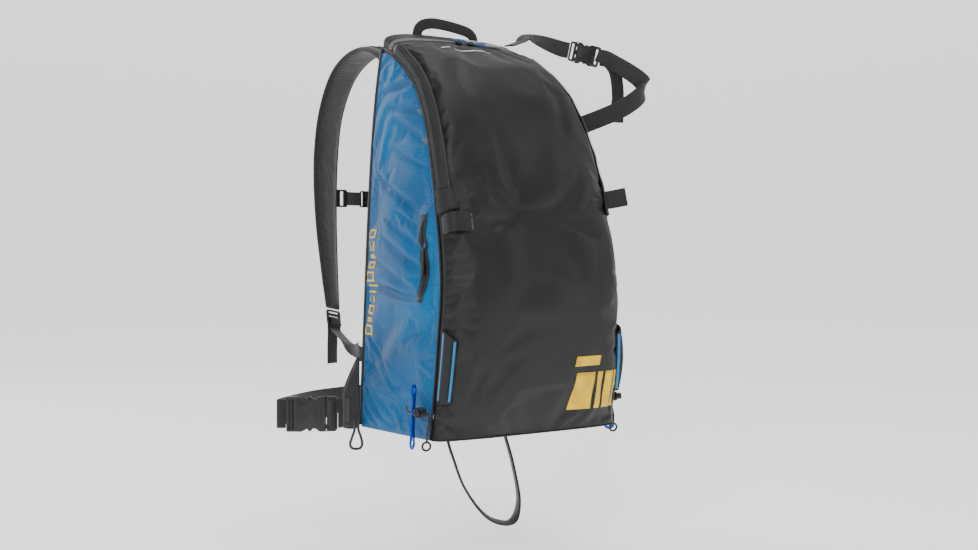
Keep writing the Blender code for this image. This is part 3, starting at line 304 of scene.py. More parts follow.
def mouldedPlastic(name, dark, light, roughness, grain=0.0007):
    # injection-moulded plastic: a fine spark-eroded texture and faint flow marks
    made, tree, shader = startMaterial(name, light, roughness, IOR=1.48)
    spot = coordinates(tree, "Object")
    fine = addNode(tree, "ShaderNodeTexNoise", {"Scale": 1 / grain, "Detail": 3.0}, {"Vector": spot})
    flow = addNode(tree, "ShaderNodeTexNoise", {"Scale": 55.0, "Detail": 2.0}, {"Vector": spot})
    ramp = mixColors(tree, reach(tree, flow.outputs["Fac"], 0.0, 1.0, 0.35, 0.65), dark, light)
    tree.links.new(ramp.outputs["Color"], shader.inputs["Base Color"])
    tree.links.new(
        reach(tree, flow.outputs["Fac"], roughness - 0.05, roughness + 0.08), shader.inputs["Roughness"]
    )
    bumpFrom(tree, shader, fine.outputs["Fac"], 0.00012, 0.35)
    return made


def workedMetal(name, dark, light, roughness, stretch=(1, 1, 1), grain=0.0006):
    # metal with the fine lines of its brushing or turning, which stretch sets the way of
    made, tree, shader = startMaterial(name, light, roughness, 1.0)
    spot = coordinates(tree, "Object", stretch)
    lines = addNode(tree, "ShaderNodeTexNoise", {"Scale": 1 / grain, "Detail": 4.0}, {"Vector": spot})
    ramp = mixColors(tree, reach(tree, lines.outputs["Fac"], 0.0, 1.0, 0.3, 0.7), dark, light)
    tree.links.new(ramp.outputs["Color"], shader.inputs["Base Color"])
    tree.links.new(
        reach(tree, lines.outputs["Fac"], roughness - 0.06, roughness + 0.12), shader.inputs["Roughness"]
    )
    bumpFrom(tree, shader, lines.outputs["Fac"], 0.00005, 0.3)
    return made


finishes = {
    # ripstop nylon, piece-dyed: bright, slightly glossy on the folds, a 5 mm grid of heavier threads
    "blueRipstop": wovenCloth("blueRipstopNylon", "#004474", "#006CA4", 0.46, 0.0006, "Object", 0.005, 0.04),
    # polyurethane-coated polyester: matt black that turns grey where it faces the light
    "blackCoated": grainedCloth("blackCoatedPolyester", "#121213", "#1F1F21", 0.52, 0.0011, 0.0001),
    # thicker coated cloth on bands and patches, rougher and a little paler
    "blackPatch": grainedCloth("blackReinforcedPolyester", "#19191A", "#252527", 0.66, 0.0014, 0.00018),
    # polyurethane-coated lining: pale grey and smooth
    "greyLining": grainedCloth("greyLiningNylon", "#6F7377", "#80858A", 0.6, 0.0016, 0.00006),
    # polyester webbing: dull black with fine ribs
    "blackWebbing": webbingCloth("blackPolyesterWebbing", "#070707", "#1C1C1D", 0.72, 0.0011),
    # woven zip tape, grey-brown, with a fine twill
    "zipTape": webbingCloth("greyZipTape", "#3F3A3A", "#6E6566", 0.7, 0.0009),
    # blue herringbone tape sewn into the ski loops
    "blueTape": webbingCloth("bluePolyesterTape", "#005C98", "#0A88C8", 0.6, 0.0010),
    # edge binding: thin black tape folded over a pad's rim
    "blackBinding": webbingCloth("blackEdgeBinding", "#0B0B0B", "#232324", 0.65, 0.0009),
    # spacer mesh over foam: black, open knit
    "blackMesh": spacerMesh("blackSpacerMesh", "#020202", "#131314", 0.0034),
    # acetal, moulded black: smooth with a soft highlight
    "blackAcetal": mouldedPlastic("blackAcetal", "#0E0E0F", "#19191B", 0.38),
    # thermoplastic rubber over a zip pull's tip: light grey and dull
    "greyRubber": mouldedPlastic("greyRubberTip", "#8C9096", "#A9ADB3", 0.55),
    # polyethylene sheet: milky white and waxy
    "whitePolyethylene": mouldedPlastic("whitePolyethylene", "#D8D8D2", "#ECECE6", 0.42, 0.002),
    # glass-filled nylon, orange: strong colour, dull
    "orangeNylon": mouldedPlastic("orangeGlassNylon", "#E24A0C", "#F4631A", 0.46),
    # anodised aluminium: blue dye in a bead-blasted surface
    "blueAnodised": workedMetal("blueAnodisedAluminium", "#0548A8", "#0A6CE0", 0.32, (1, 1, 0.15)),
    # turned aluminium, bare: pale grey with turning lines
    "bareAluminium": workedMetal("turnedAluminium", "#B4B6B8", "#D2D4D6", 0.3, (1, 1, 1)),
    # painted pressure steel: satin grey
    "greySteel": workedMetal("satinSteel", "#74777C", "#92969B", 0.34, (1, 1, 0.2)),
    # nylon of the airbag: thin, red and tightly woven
    "redNylon": wovenCloth("redAirbagNylon", "#9E0E0E", "#C41A14", 0.5, 0.0007, "Object", 0.0, 0.2),
    # elastic cord: black sheath, with a painted pale highlight on the crown of each braid strand
    "elasticCord": braidedCord("blackElasticCord", "#060606", "#1B1B1C", 0.6, 0.0009, "#8F959C"),
    # zip cords: blue braid
    "blueCord": braidedCord("blueBraidedCord", "#0A4C9C", "#1B72D2", 0.6, 0.0008),
    # sewing thread, black polyester: catches a little light
    "blackThread": braidedCord("blackThread", "#101011", "#2B2B2D", 0.5, 0.0003),
    # sewing thread, blue polyester
    "blueThread": braidedCord("blueThread", "#0A5F98", "#1787CB", 0.5, 0.0003),
    # sewing thread, grey polyester
    "greyThread": braidedCord("greyThread", "#4A4A4D", "#6A6A6E", 0.5, 0.0003),
    # screen-printed ink: yellow, slightly raised and satin
    "yellowInk": mouldedPlastic("yellowScreenInk", "#D8AC00", "#F4C600", 0.5),
    # screen-printed ink: white
    "whiteInk": mouldedPlastic("whiteScreenInk", "#D8D8D8", "#F2F2F2", 0.5),
    # coated cable sheath: black polymer
    "blackCable": mouldedPlastic("blackCableSheath", "#0B0B0C", "#161617", 0.45),
}
print("materials made")

# ---- the pack's shape: out is away from the wearer's back, up is above the base

pack = {
    "backY": -0.015,
    "baseZ": -0.075,
    "halfWidth": 0.146,
    "taper": 0.045,
    "shoulderNarrowing": 0.012,
    "height": 0.509,
    "cornerDepth": 0.022,
    "belly": 0.014,
    "sideBulge": 0.006,
    "seamGap": 0.005,
    "hingeShareUp": 0.5894,
    "zipOut": 0.030,
}
seamProfile = (  # the side seam from the base over the top to the back: (out, share of the height)
    (0.168, 0.0),
    (0.177, 0.2358),
    (0.176, 0.4322),
    (0.140, 0.7073),
    (0.104, 0.8546),
    (0.055, 0.9430),
    (0.0, 1.0),
)


def at(x, out, up):
    return Vector((x, pack["backY"] - out, pack["baseZ"] + up))


def smoothLine(points, perSpan=10):
    given = [Vector(p) for p in points]
    given = [2 * given[0] - given[1], *given, 2 * given[-1] - given[-2]]
    found = []
    for a, b, c, d in zip(given, given[1:], given[2:], given[3:]):
        for step in range(perSpan):
            t = step / perSpan
            turn = (2 * a - 5 * b + 4 * c - d) * t * t + (3 * b - a - 3 * c + d) * t**3
            found.append(0.5 * (2 * b + (c - a) * t + turn))
    return [*found, given[-2]]


def runLengths(points):
    run = [0.0]
    for a, b in zip(points, points[1:]):
        run.append(run[-1] + (b - a).length)
    return run


def pointAlong(points, share, run=None):
    run = run or runLengths(points)
    wanted = max(0.0, min(1.0, share)) * run[-1]
    low, high = 0, len(run) - 1
    while high - low > 1:
        middle = (low + high) // 2
        low, high = (middle, high) if run[middle] <= wanted else (low, middle)
    step = run[high] - run[low]
    return points[low].lerp(points[high], (wanted - run[low]) / step if step else 0.0)


seamLine = smoothLine([(out, share * pack["height"]) for out, share in seamProfile])
seamRun = runLengths(seamLine)


def ease(value):
    value = max(0.0, min(1.0, value))
    return value * value * (3 - 2 * value)


def halfWidth(up):
    share = max(0.0, up) / pack["height"]
    return pack["halfWidth"] - pack["taper"] * up - pack["shoulderNarrowing"] * share**6


def seamSpot(share):
    return pointAlong(seamLine, share, seamRun)


def seamNormal(share):
    way = seamSpot(share + 0.01) - seamSpot(share - 0.01)
    normal = Vector((1.0, 0.0)).lerp(Vector((way.y, -way.x)).normalized(), ease(share / 0.1))
    return normal.lerp(Vector((0.0, 1.0)), ease((share - 0.86) / 0.14)).normalized()


def shareWhere(test):
    return next(i / 2000 for i in range(2001) if test(*seamSpot(i / 2000)))


def wrapped(share, across, lift=0.0):
    # the cloth over the front and the top; across runs from -1 at the left seam to 1
    seam, normal = seamSpot(share), seamNormal(share)
    turn = across * math.pi / 2
    side = math.copysign(abs(math.sin(turn)) ** 0.57, across)
    depth = pack["cornerDepth"] + pack["belly"] * math.sin(math.pi * min(1.0, share * 1.15))
    standOut = pack["seamGap"] / 2 + lift + depth * max(0.0, math.cos(turn)) ** 0.57
    spot = seam + normal * standOut
    return at((halfWidth(seam.y) + lift * abs(side) ** 4) * side, spot.x, spot.y)


def sidePoint(share, forward, lift=0.0):
    # the left side panel, from the back plane (forward 0) to the seam (forward 1)
    seam = seamSpot(share) - seamNormal(share) * pack["seamGap"] / 2
    bulge = pack["sideBulge"] * math.sin(math.pi * forward) * math.sin(math.pi * share)
    return at(-halfWidth(seam.y) - bulge - lift, 0.002 + forward * (seam.x - 0.002), seam.y)


def frameAt(origin, xWay, yWay):
    # a matrix with X and about Y as given
    x = Vector(xWay).normalized()
    z = x.cross(Vector(yWay)).normalized()
    made = Matrix((x, z.cross(x), z)).transposed().to_4x4()
    made.translation = Vector(origin)
    return made


def flipX(point):
    return Vector((-point[0], point[1], point[2]))


hingeShare = shareWhere(lambda out, up: up >= pack["hingeShareUp"] * pack["height"])
zipShare = shareWhere(lambda out, up: up > pack["height"] / 2 and out <= pack["zipOut"])
gapShare = pack["seamGap"] / 2 / seamRun[-1]

# ---- builders


def newPiece(name, bm, finish, smooth=40):
    mesh = bpy.data.meshes.new(name)
    bm.to_mesh(mesh)
    bm.free()
    piece = bpy.data.objects.new(name, mesh)
    bpy.context.scene.collection.objects.link(piece)
    for key in finish if isinstance(finish, (tuple, list)) else (finish,):
        mesh.materials.append(finishes[key])
    mesh.shade_smooth()
    mesh.set_sharp_from_angle(angle=math.radians(smooth))
    return piece


def applied(piece):
    # the evaluated shape takes the place of the piece's mesh and its modifiers
    graph = bpy.context.evaluated_depsgraph_get()
    bpy.context.view_layer.update()
    mesh = bpy.data.meshes.new_from_object(piece.evaluated_get(graph), depsgraph=graph)
    piece.modifiers.clear()
    piece.data = mesh
    return piece


def thicken(piece, thickness, offset=-1.0, rim=0, inside=0):
    solid = piece.modifiers.new("thickness", "SOLIDIFY")
    solid.thickness, solid.offset = thickness, offset
    solid.material_offset, solid.material_offset_rim = inside, rim
    solid.use_even_offset = False
    return applied(piece)


def settle(piece, body, slotName, *nodes):
    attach(piece, body)
    if nodes:
        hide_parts(*nodes)
    return piece


def clothSheet(name, surface, columns, rows, finish, size):
    # a grid through surface(u, v), with its own map in metres
    bm = bmesh.new()
    layer = bm.loops.layers.uv.new("cloth")
    spots = [
        [bm.verts.new(surface(i / columns, j / rows)) for i in range(columns + 1)] for j in range(rows + 1)
    ]
    for j in range(rows):
        for i in range(columns):
            face = bm.faces.new((spots[j][i], spots[j][i + 1], spots[j + 1][i + 1], spots[j + 1][i]))
            for loop, (a, b) in zip(face.loops, ((i, j), (i + 1, j), (i + 1, j + 1), (i, j + 1))):
                loop[layer].uv = (a / columns * size[0], b / rows * size[1])
    return newPiece(name, bm, finish, 80)


def sweep(bm, layer, line, sides, sections):
    # one closed skin: sections[i] lists (across, off) round the line's point i
    count = len(line)
    rings, run = [], runLengths(line)
    for i, spot in enumerate(line):
        way = (line[min(i + 1, count - 1)] - line[max(i - 1, 0)]).normalized()
        side = (sides[i] - way * sides[i].dot(way)).normalized()
        off = way.cross(side)
        rings.append([bm.verts.new(spot + side * a + off * b) for a, b in sections[i]])
    around = [0.0]
    for (a, b), (c, d) in zip(sections[0], sections[0][1:] + sections[0][:1]):
        around.append(around[-1] + math.hypot(c - a, d - b))
    size = len(rings[0])
    for i in range(count - 1):
        for k in range(size):
            n = (k + 1) % size
            face = bm.faces.new((rings[i][k], rings[i][n], rings[i + 1][n], rings[i + 1][k]))
            for loop, (a, b) in zip(face.loops, ((i, k), (i, k + 1), (i + 1, k + 1), (i + 1, k))):
                loop[layer].uv = (run[a], around[b])
    for ring in (rings[0][::-1], rings[-1]):
        face = bm.faces.new(ring)
        for loop in face.loops:
            loop[layer].uv = (loop.vert.co.x, loop.vert.co.z)


def strapSection(width, thickness):
    half, t = width / 2, thickness / 2
    upper = [(-half, 0), (-half + 0.35 * t, 0.75 * t), (-half + 1.4 * t, t), (-half / 3, t * 1.04)]
    upper += [(half / 3, t * 1.04), (half - 1.4 * t, t), (half - 0.35 * t, 0.75 * t), (half, 0)]
    lower = [(a, -b) for a, b in reversed(upper[1:-1])]
    return upper + lower


def strap(bm, path, sides, width, thickness, perSpan=8):
    # flat webbing along a smooth curve; sides gives the way across it
    layer = bm.loops.layers.uv.verify()
    line = smoothLine(path, perSpan)
    sides = [Vector(s) for s in sides] if isinstance(sides, list) else [Vector(sides)] * len(path)
    ways = smoothLine(sides, perSpan)
    widths = width if isinstance(width, list) else [width] * len(path)
    sizes = smoothLine([(w, 0.0) for w in widths], perSpan)
    sweep(bm, layer, line, ways, [strapSection(s.x, thickness) for s in sizes])


def strapPiece(name, path, sides, width, thickness, finish="blackWebbing", perSpan=8):
    bm = bmesh.new()
    strap(bm, path, sides, width, thickness, perSpan)
    bmesh.ops.recalc_face_normals(bm, faces=bm.faces)
    return newPiece(name, bm, finish, 50)


def tubeLine(bm, line, radius, around=10):
    # a round cord through the given points; returns nothing, adds to bm
    layer = bm.loops.layers.uv.verify()
    side = Vector((0.31, 0.52, 0.79))
    sides = []
    for i in range(len(line)):
        way = (line[min(i + 1, len(line) - 1)] - line[max(i - 1, 0)]).normalized()
        side = (side - way * side.dot(way)).normalized()
        sides.append(side)
    radii = radius if isinstance(radius, list) else [radius] * len(line)
    turns = [2 * math.pi * k / around for k in range(around)]
    sweep(bm, layer, line, sides, [[(r * math.cos(t), r * math.sin(t)) for t in turns] for r in radii])


def tubePiece(name, path, radius, finish, perSpan=8, around=10):
    bm = bmesh.new()
    line = smoothLine(path, perSpan)
    tubeLine(bm, line, radius, around)
    bmesh.ops.recalc_face_normals(bm, faces=bm.faces)
    return newPiece(name, bm, finish, 60), line


def addPlate(bm, outlines, thickness, matrix, bevel=0.0007, steps=2):
    # a flat moulding with rounded rims: the first outline is its edge, the others are holes
    curve = bpy.data.curves.new("outline", "CURVE")
    curve.dimensions, curve.fill_mode = "2D", "BOTH"
    curve.extrude, curve.bevel_depth = thickness / 2 - bevel, bevel
    curve.bevel_resolution, curve.offset = steps, -bevel
    for outline in outlines:
        spline = curve.splines.new("POLY")
        spline.points.add(len(outline) - 1)
        for point, spot in zip(spline.points, outline):
            point.co = (spot[0], spot[1], 0.0, 1.0)
        spline.use_cyclic_u = True
    holder = bpy.data.objects.new("outline", curve)
    bpy.context.scene.collection.objects.link(holder)
    graph = bpy.context.evaluated_depsgraph_get()
    mesh = bpy.data.meshes.new_from_object(holder.evaluated_get(graph), depsgraph=graph)
    mesh.transform(matrix)
    part = bmesh.new()
    part.from_mesh(mesh)
    bmesh.ops.remove_doubles(part, verts=part.verts, dist=0.00002)
    bmesh.ops.dissolve_degenerate(part, edges=part.edges, dist=0.00001)
    bmesh.ops.recalc_face_normals(part, faces=part.faces)
    part.to_mesh(mesh)
    part.free()
    bm.from_mesh(mesh)
    bpy.data.objects.remove(holder)
    bpy.data.curves.remove(curve)
    bpy.data.meshes.remove(mesh)


def addBlock(bm, size, matrix, bevel=0.001, segments=3):
    part = bmesh.new()
    bmesh.ops.create_cube(part, size=1.0)
    bmesh.ops.scale(part, vec=size, verts=part.verts)
    bmesh.ops.bevel(part, geom=part.edges, offset=bevel, segments=segments, affect="EDGES", profile=0.5)
    bmesh.ops.transform(part, matrix=matrix, verts=part.verts)
    mesh = bpy.data.meshes.new("block")
    part.to_mesh(mesh)
    part.free()
    bm.from_mesh(mesh)
    bpy.data.meshes.remove(mesh)


def addTurned(bm, profile, matrix, around=32):
    # a turned shape from (radius, along Z) pairs, closed at the axis at both ends
    rings = []
    for radius, height in profile:
        if radius < 1e-6:
            rings.append([bm.verts.new(matrix @ Vector((0, 0, height)))])
            continue
        turns = [2 * math.pi * k / around for k in range(around)]
        rings.append(
            [
                bm.verts.new(
                    matrix @ Vector((radius * math.cos(t), radius * math.sin(t), height))
                ) for t in turns
            ]
        )
    faces = []
    for lower, upper in zip(rings, rings[1:]):
        for k in range(around):
            n = (k + 1) % around
            corners = [
                lower[k % len(lower)], lower[n % len(lower)], upper[n % len(upper)], upper[k % len(upper)]
            ]
            corners = list(dict.fromkeys(corners))
            if len(corners) > 2:
                faces.append(bm.faces.new(corners))
    bmesh.ops.recalc_face_normals(bm, faces=faces)


def roundedOutline(corners, radius, steps=5):
    outline = []
    for i, corner in enumerate(corners):
        corner = Vector(corner)
        before = (Vector(corners[i - 1]) - corner).normalized()
        after = (Vector(corners[(i + 1) % len(corners)]) - corner).normalized()
        half = before.angle(after) / 2
        if half > math.radians(80):
            outline.append(corner)
            continue
        reachOut = radius / math.tan(half)
        middle = corner + (before + after).normalized() * radius / math.sin(half)
        first = (corner + before * reachOut - middle).normalized()
        last = (corner + after * reachOut - middle).normalized()
        outline += [middle + first.slerp(last, k / steps) * radius for k in range(steps + 1)]
    return outline


def rectangle(x, y, width, height):
    return [
        (x - width / 2, y - height / 2),
        (x + width / 2, y - height / 2),
        (x + width / 2, y + height / 2),
        (x - width / 2, y + height / 2),
    ]


def circleOutline(radius, x=0.0, y=0.0, sides=28):
    turns = [2 * math.pi * k / sides for k in range(sides)]
    return [(x + radius * math.cos(t), y + radius * math.sin(t)) for t in turns]


# ---- what repeats along a line: stitches and coil teeth, laid by Geometry Nodes


def buildRepeatTree():
    tree = bpy.data.node_groups.new("repeatAlongLine", "GeometryNodeTree")
    face = tree.interface
    face.new_socket("Geometry", in_out="INPUT", socket_type="NodeSocketGeometry")
    for label, value in (("Spacing", 0.003), ("Length", 0.002), ("Thickness", 0.0004)):
        face.new_socket(label, in_out="INPUT", socket_type="NodeSocketFloat").default_value = value
    face.new_socket("Sides", in_out="INPUT", socket_type="NodeSocketInt").default_value = 6
    face.new_socket("Finish", in_out="INPUT", socket_type="NodeSocketMaterial")
    face.new_socket("Geometry", in_out="OUTPUT", socket_type="NodeSocketGeometry")
    given = addNode(tree, "NodeGroupInput").outputs
    curve = addNode(tree, "GeometryNodeMeshToCurve", None, {"Mesh": given["Geometry"]})
    evenly = addNode(
        tree,
        "GeometryNodeResampleCurve",
        {"mode": "LENGTH"},
        {"Curve": curve.outputs["Curve"], "Length": given["Spacing"]},
    )
    way = addNode(tree, "GeometryNodeInputNamedAttribute", {"data_type": "FLOAT_VECTOR", 0: "way"})
    turn = addNode(
        tree,
        "FunctionNodeAlignRotationToVector",
        {"axis": "Z"},
        {"Vector": way.outputs["Attribute"]},
    )
    rod = addNode(
        tree,
        "GeometryNodeMeshCylinder",
        {"Side Segments": 1, "Fill Segments": 1},
        {"Vertices": given["Sides"], "Radius": given["Thickness"], "Depth": given["Length"]},
    )
    copies = addNode(
        tree,
        "GeometryNodeInstanceOnPoints",
        None,
        {
            "Points": evenly.outputs["Curve"],
            "Instance": rod.outputs["Mesh"],
            "Rotation": turn.outputs["Rotation"],
        },
    )
    real = addNode(tree, "GeometryNodeRealizeInstances", None, {"Geometry": copies.outputs[0]})
    ink = addNode(
        tree,
        "GeometryNodeSetMaterial",
        None,
        {"Geometry": real.outputs[0], "Material": given["Finish"]},
    )
    addNode(tree, "NodeGroupOutput", None, {0: ink.outputs[0]})
    return tree


repeatTree = buildRepeatTree()


def repeatPiece(name, lines, ways, finish, spacing, length, thickness, sides=6):
    # lines: lists of points; ways: for each line, the way its rods point, or None for along it
    mesh = bpy.data.meshes.new(name)
    spots, edges, turned = [], [], []
    for line, way in zip(lines, ways):
        start = len(spots)
        for i, spot in enumerate(line):
            spots.append(spot)
            if way is None:
                turned.append(line[min(i + 1, len(line) - 1)] - line[max(i - 1, 0)])
            else:
                turned.append(Vector(way[i] if isinstance(way, list) else way))
        edges += [(start + i, start + i + 1) for i in range(len(line) - 1)]
    mesh.from_pydata(spots, edges, [])
    store = mesh.attributes.new("way", "FLOAT_VECTOR", "POINT")
    store.data.foreach_set("vector", [c for w in turned for c in w])
    piece = bpy.data.objects.new(name, mesh)
    bpy.context.scene.collection.objects.link(piece)
    layer = piece.modifiers.new("repeat", "NODES")
    layer.node_group = repeatTree
    values = {
        "Spacing": spacing,
        "Length": length,
        "Thickness": thickness,
        "Sides": sides,
        "Finish": finishes[finish]
    }
    for item in repeatTree.interface.items_tree:
        if item.in_out == "INPUT" and item.name in values:
            layer[item.identifier] = values[item.name]
    applied(piece)
    piece.data.shade_smooth()
    piece.data.set_sharp_from_angle(angle=math.radians(50))
    return piece


# ---- cloth simulation


def relax(piece, held, grow, pressure, frames, cap, stiffness=8.0, bending=0.4):
    # the piece's own cloth settles between the points that held(index, place) pins
    spots = [v.co.copy() for v in piece.data.vertices]
    group = piece.vertex_groups.new(name="held")
    for i, spot in enumerate(spots):
        weight = held(i, spot)
        if weight > 0:
            group.add([i], weight, "REPLACE")
    cloth = piece.modifiers.new("cloth", "CLOTH")
    s = cloth.settings
    s.quality, s.mass = 5, 0.2
    s.tension_stiffness = s.compression_stiffness = stiffness
    s.shear_stiffness, s.bending_stiffness = stiffness / 2, bending
    s.vertex_group_mass, s.pin_stiffness = "held", 1.0
    s.shrink_min = s.shrink_max = -grow
    s.use_pressure, s.uniform_pressure_force = True, pressure
    s.effector_weights.gravity = 0.0
    s.air_damping = 3.0
    cloth.collision_settings.use_collision = False
    cloth.point_cache.frame_start, cloth.point_cache.frame_end = 1, frames
    scene = bpy.context.scene
    for step in range(1, frames + 1):
        scene.frame_set(step)
    graph = bpy.context.evaluated_depsgraph_get()
    moved = [v.co.copy() for v in piece.evaluated_get(graph).data.vertices]
    piece.modifiers.clear()
    piece.vertex_groups.clear()
    for vertex, start, end in zip(piece.data.vertices, spots, moved):
        shift = end - start
        vertex.co = start + (shift if shift.length <= cap else shift * cap / shift.length)
    scene.frame_set(1)
    return piece


print("builders ready")

# ---- side panels: blue ripstop, puckered along the front seam

sidePanel = {
    "columns": 84,
    "rows": 190,
    "thickness": 0.0012,
    "grow": 0.035,  # how much longer the cloth is than the frame it is sewn into
    "pressure": 0.4,
    "frames": 17,
    "cap": 0.008,
}
sideFolds = (  # start and end as (share up the seam, share forward), depth, width in metres
    ((0.946, 0.55), (0.900, 1.0), 0.0022, 0.012),
    ((0.804, 0.30), (0.816, 1.0), 0.0030, 0.010),
    ((0.750, 0.42), (0.731, 1.0), 0.0026, 0.011),
    ((0.722, 0.50), (0.650, 1.0), 0.0034, 0.012),
    ((0.645, 0.48), (0.590, 0.97), 0.0024, 0.010),
    ((0.650, 0.05), (0.556, 0.36), 0.0016, 0.010),
    ((0.575, 0.25), (0.505, 0.74), 0.0038, 0.014),
    ((0.500, 0.26), (0.418, 0.76), 0.0030, 0.011),
    ((0.490, 0.58), (0.460, 0.78), 0.0022, 0.008),
    ((0.437, 0.34), (0.372, 0.76), 0.0032, 0.011),
    ((0.390, 0.16), (0.330, 0.66), 0.0034, 0.012),
    ((0.325, 0.10), (0.305, 0.72), 0.0028, 0.013),
    ((0.215, 0.10), (0.110, 0.46), 0.0026, 0.012),
    ((0.155, 0.03), (0.095, 0.40), 0.0030, 0.011),
    ((0.112, 0.02), (0.030, 0.34), 0.0030, 0.010),
    ((0.068, 0.02), (0.012, 0.26), 0.0022, 0.009),
    ((0.150, 0.80), (0.120, 0.99), 0.0022, 0.009),
    ((0.105, 0.78), (0.085, 0.99), 0.0022, 0.008),
    ((0.060, 0.74), (0.050, 0.98), 0.0020, 0.008),
)


def foldDepth(folds, across, up):
    # across and up in metres on the flat panel; valleys with softer ridges beside them
    total = 0.0
    for (fromSpot, toSpot, depth, width) in folds:
        way = toSpot - fromSpot
        share = (Vector((across, up)) - fromSpot).dot(way) / way.length_squared
        off = (Vector((across, up)) - fromSpot - way * share).length
        if off > 4 * width or not -0.3 < share < 1.3:
            continue
        fade = ease((share + 0.15) / 0.4) * ease((1.2 - share) / 0.35)
        total -= depth * fade * math.exp(-((off / (0.45 * width)) ** 2))
        total += 0.45 * depth * fade * math.exp(-(((off - width) / (0.6 * width)) ** 2))
    return total


seamLength = seamRun[-1]


def makeSidePanels():
    s = sidePanel
    folds = []
    for (upA, forwardA), (upB, forwardB), depth, width in sideFolds:
        a = Vector((forwardA * max(0.02, seamSpot(upA).x), seamSpot(upA).y))
        b = Vector((forwardB * max(0.02, seamSpot(upB).x), seamSpot(upB).y))
        folds.append((a, b, depth, width))

    def surface(mirror):
        def spot(u, v):
            share = v * 0.975
            seam = seamSpot(share)
            edge = ease(min(u, 1 - u) / 0.12) * ease(min(v, 1 - v) / 0.05)
            depth = foldDepth(folds, u * seam.x, seam.y) * (0.25 + 0.75 * edge)
            drift = noise.noise(Vector((u * 5 + mirror * 9, v * 11, 3.3))) * 0.0010
            place = sidePoint(share, u, min(0.0035, depth + drift * edge))
            return flipX(place) if mirror else place

        return spot

    for mirror, name in ((0, "left"), (1, "right")):
        spot = surface(mirror)
        piece = clothSheet(
            f"sidePanel{name.title()}",
            spot,
            s["columns"],
            s["rows"],
            ("blueRipstop", "greyLining"),
            (0.17, seamLength)
        )
        across, rows = s["columns"], s["rows"]
        if mirror:
            piece.data.flip_normals()

        def held(i, place):
            u, v = (i % (across + 1)) / across, (i // (across + 1)) / rows
            rim = min(u, 1 - u, (1 - v) * 2, v * 2)
            return 1.0 if rim < 0.012 else 0.0

        relax(piece, held, s["grow"], s["pressure"], s["frames"], s["cap"], 10.0, 1.2)
        piece.data.set_sharp_from_angle(angle=math.radians(100))
        thicken(piece, s["thickness"], -1.0, 0, 1)
        settle(piece, "shell", "blue_ripstop", f"side_panel_{name}")


makeSidePanels()
print("side panels made")

# ---- front: one coated sheet from the base to the zip, over both the front panel and the flap

frontSheet = {
    "columns": 120,
    "rows": 200,
    "thickness": 0.0014,
    "grow": 0.018,
    "pressure": 0.25,
    "frames": 16,
    "cap": 0.006,
}
frontFolds = (  # start and end as (share up the seam, across), depth, width
    ((0.655, -0.115), (0.500, -0.045), 0.0030, 0.012),
    ((0.640, 0.020), (0.510, -0.020), 0.0022, 0.010),
    ((0.530, -0.240), (0.480, -0.060), 0.0026, 0.012),
    ((0.445, -0.270), (0.468, -0.070), 0.0026, 0.014),
    ((0.300, -0.040), (0.455, -0.040), 0.0050, 0.020),
    ((0.340, 0.120), (0.450, 0.000), 0.0034, 0.018),
    ((0.560, 0.240), (0.485, 0.020), 0.0026, 0.014),
    ((0.420, 0.300), (0.468, 0.030), 0.0022, 0.014),
    ((0.780, -0.300), (0.690, -0.180), 0.0012, 0.020),
    ((0.760, 0.300), (0.660, 0.180), 0.0014, 0.020),
    ((0.060, -0.500), (0.160, -0.300), 0.0016, 0.022),
    ((0.050, 0.450), (0.170, 0.250), 0.0016, 0.022),
)
pinch = {"share": 0.470, "across": -0.035, "depth": 0.0055, "radius": 0.030}


def makeFront():
    s = frontSheet
    wide = 0.165  # half the sheet's flat width at the middle

    def flat(share, across):
        return Vector((across * wide, share * seamLength))

    folds = [(flat(*a), flat(*b), depth, width) for a, b, depth, width in frontFolds]
    centre = flat(pinch["share"], pinch["across"])
    folds = [((a.yx), (b.yx), d, w) for a, b, d, w in [((f[0].yx), (f[1].yx), f[2], f[3]) for f in folds]]

    def spot(u, v):
        across, share = 2 * u - 1, v * (zipShare - gapShare)
        place = flat(share, across)
        depth = foldDepth(folds, place.x, place.y)
        depth -= pinch["depth"] * math.exp(-(((place - centre).length / pinch["radius"]) ** 2))
        drift = noise.noise(Vector((u * 6, v * 9, 7.1))) * 0.0012
        edge = ease(min(u, 1 - u) / 0.10) * ease(v / 0.03) * ease((1 - v) / 0.04)
        return wrapped(share, across, min(0.003, (depth + drift) * edge))

    piece = clothSheet(
        "frontSheet", spot, s["columns"], s["rows"], ("blackCoated", "greyLining"), (2 * wide, seamLength)
    )
    across, rows = s["columns"], s["rows"]

    def held(i, place):
        u, v = (i % (across + 1)) / across, (i // (across + 1)) / rows
        if min(u, 1 - u, v * 2, (1 - v) * 2) < 0.02:
            return 1.0
        return 0.9 if (flat(v * zipShare, 2 * u - 1) - centre).length < 0.007 else 0.0

    relax(piece, held, s["grow"], s["pressure"], s["frames"], s["cap"], 12.0, 2.5)
    piece.data.set_sharp_from_angle(angle=math.radians(100))
    thicken(piece, s["thickness"], -1.0, 0, 1)
    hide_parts("front_panel", "front_flap")
    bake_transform(piece)


makeFront()
print("front made")

# ---- crown, base, piping and the main zip


def crownSurface(u, v):
    share = zipShare + gapShare + v * (1 - zipShare - 2 * gapShare)
    return wrapped(share, 2 * u - 1, 0.0005 * noise.noise(Vector((u * 7, v * 3, 1.1))))


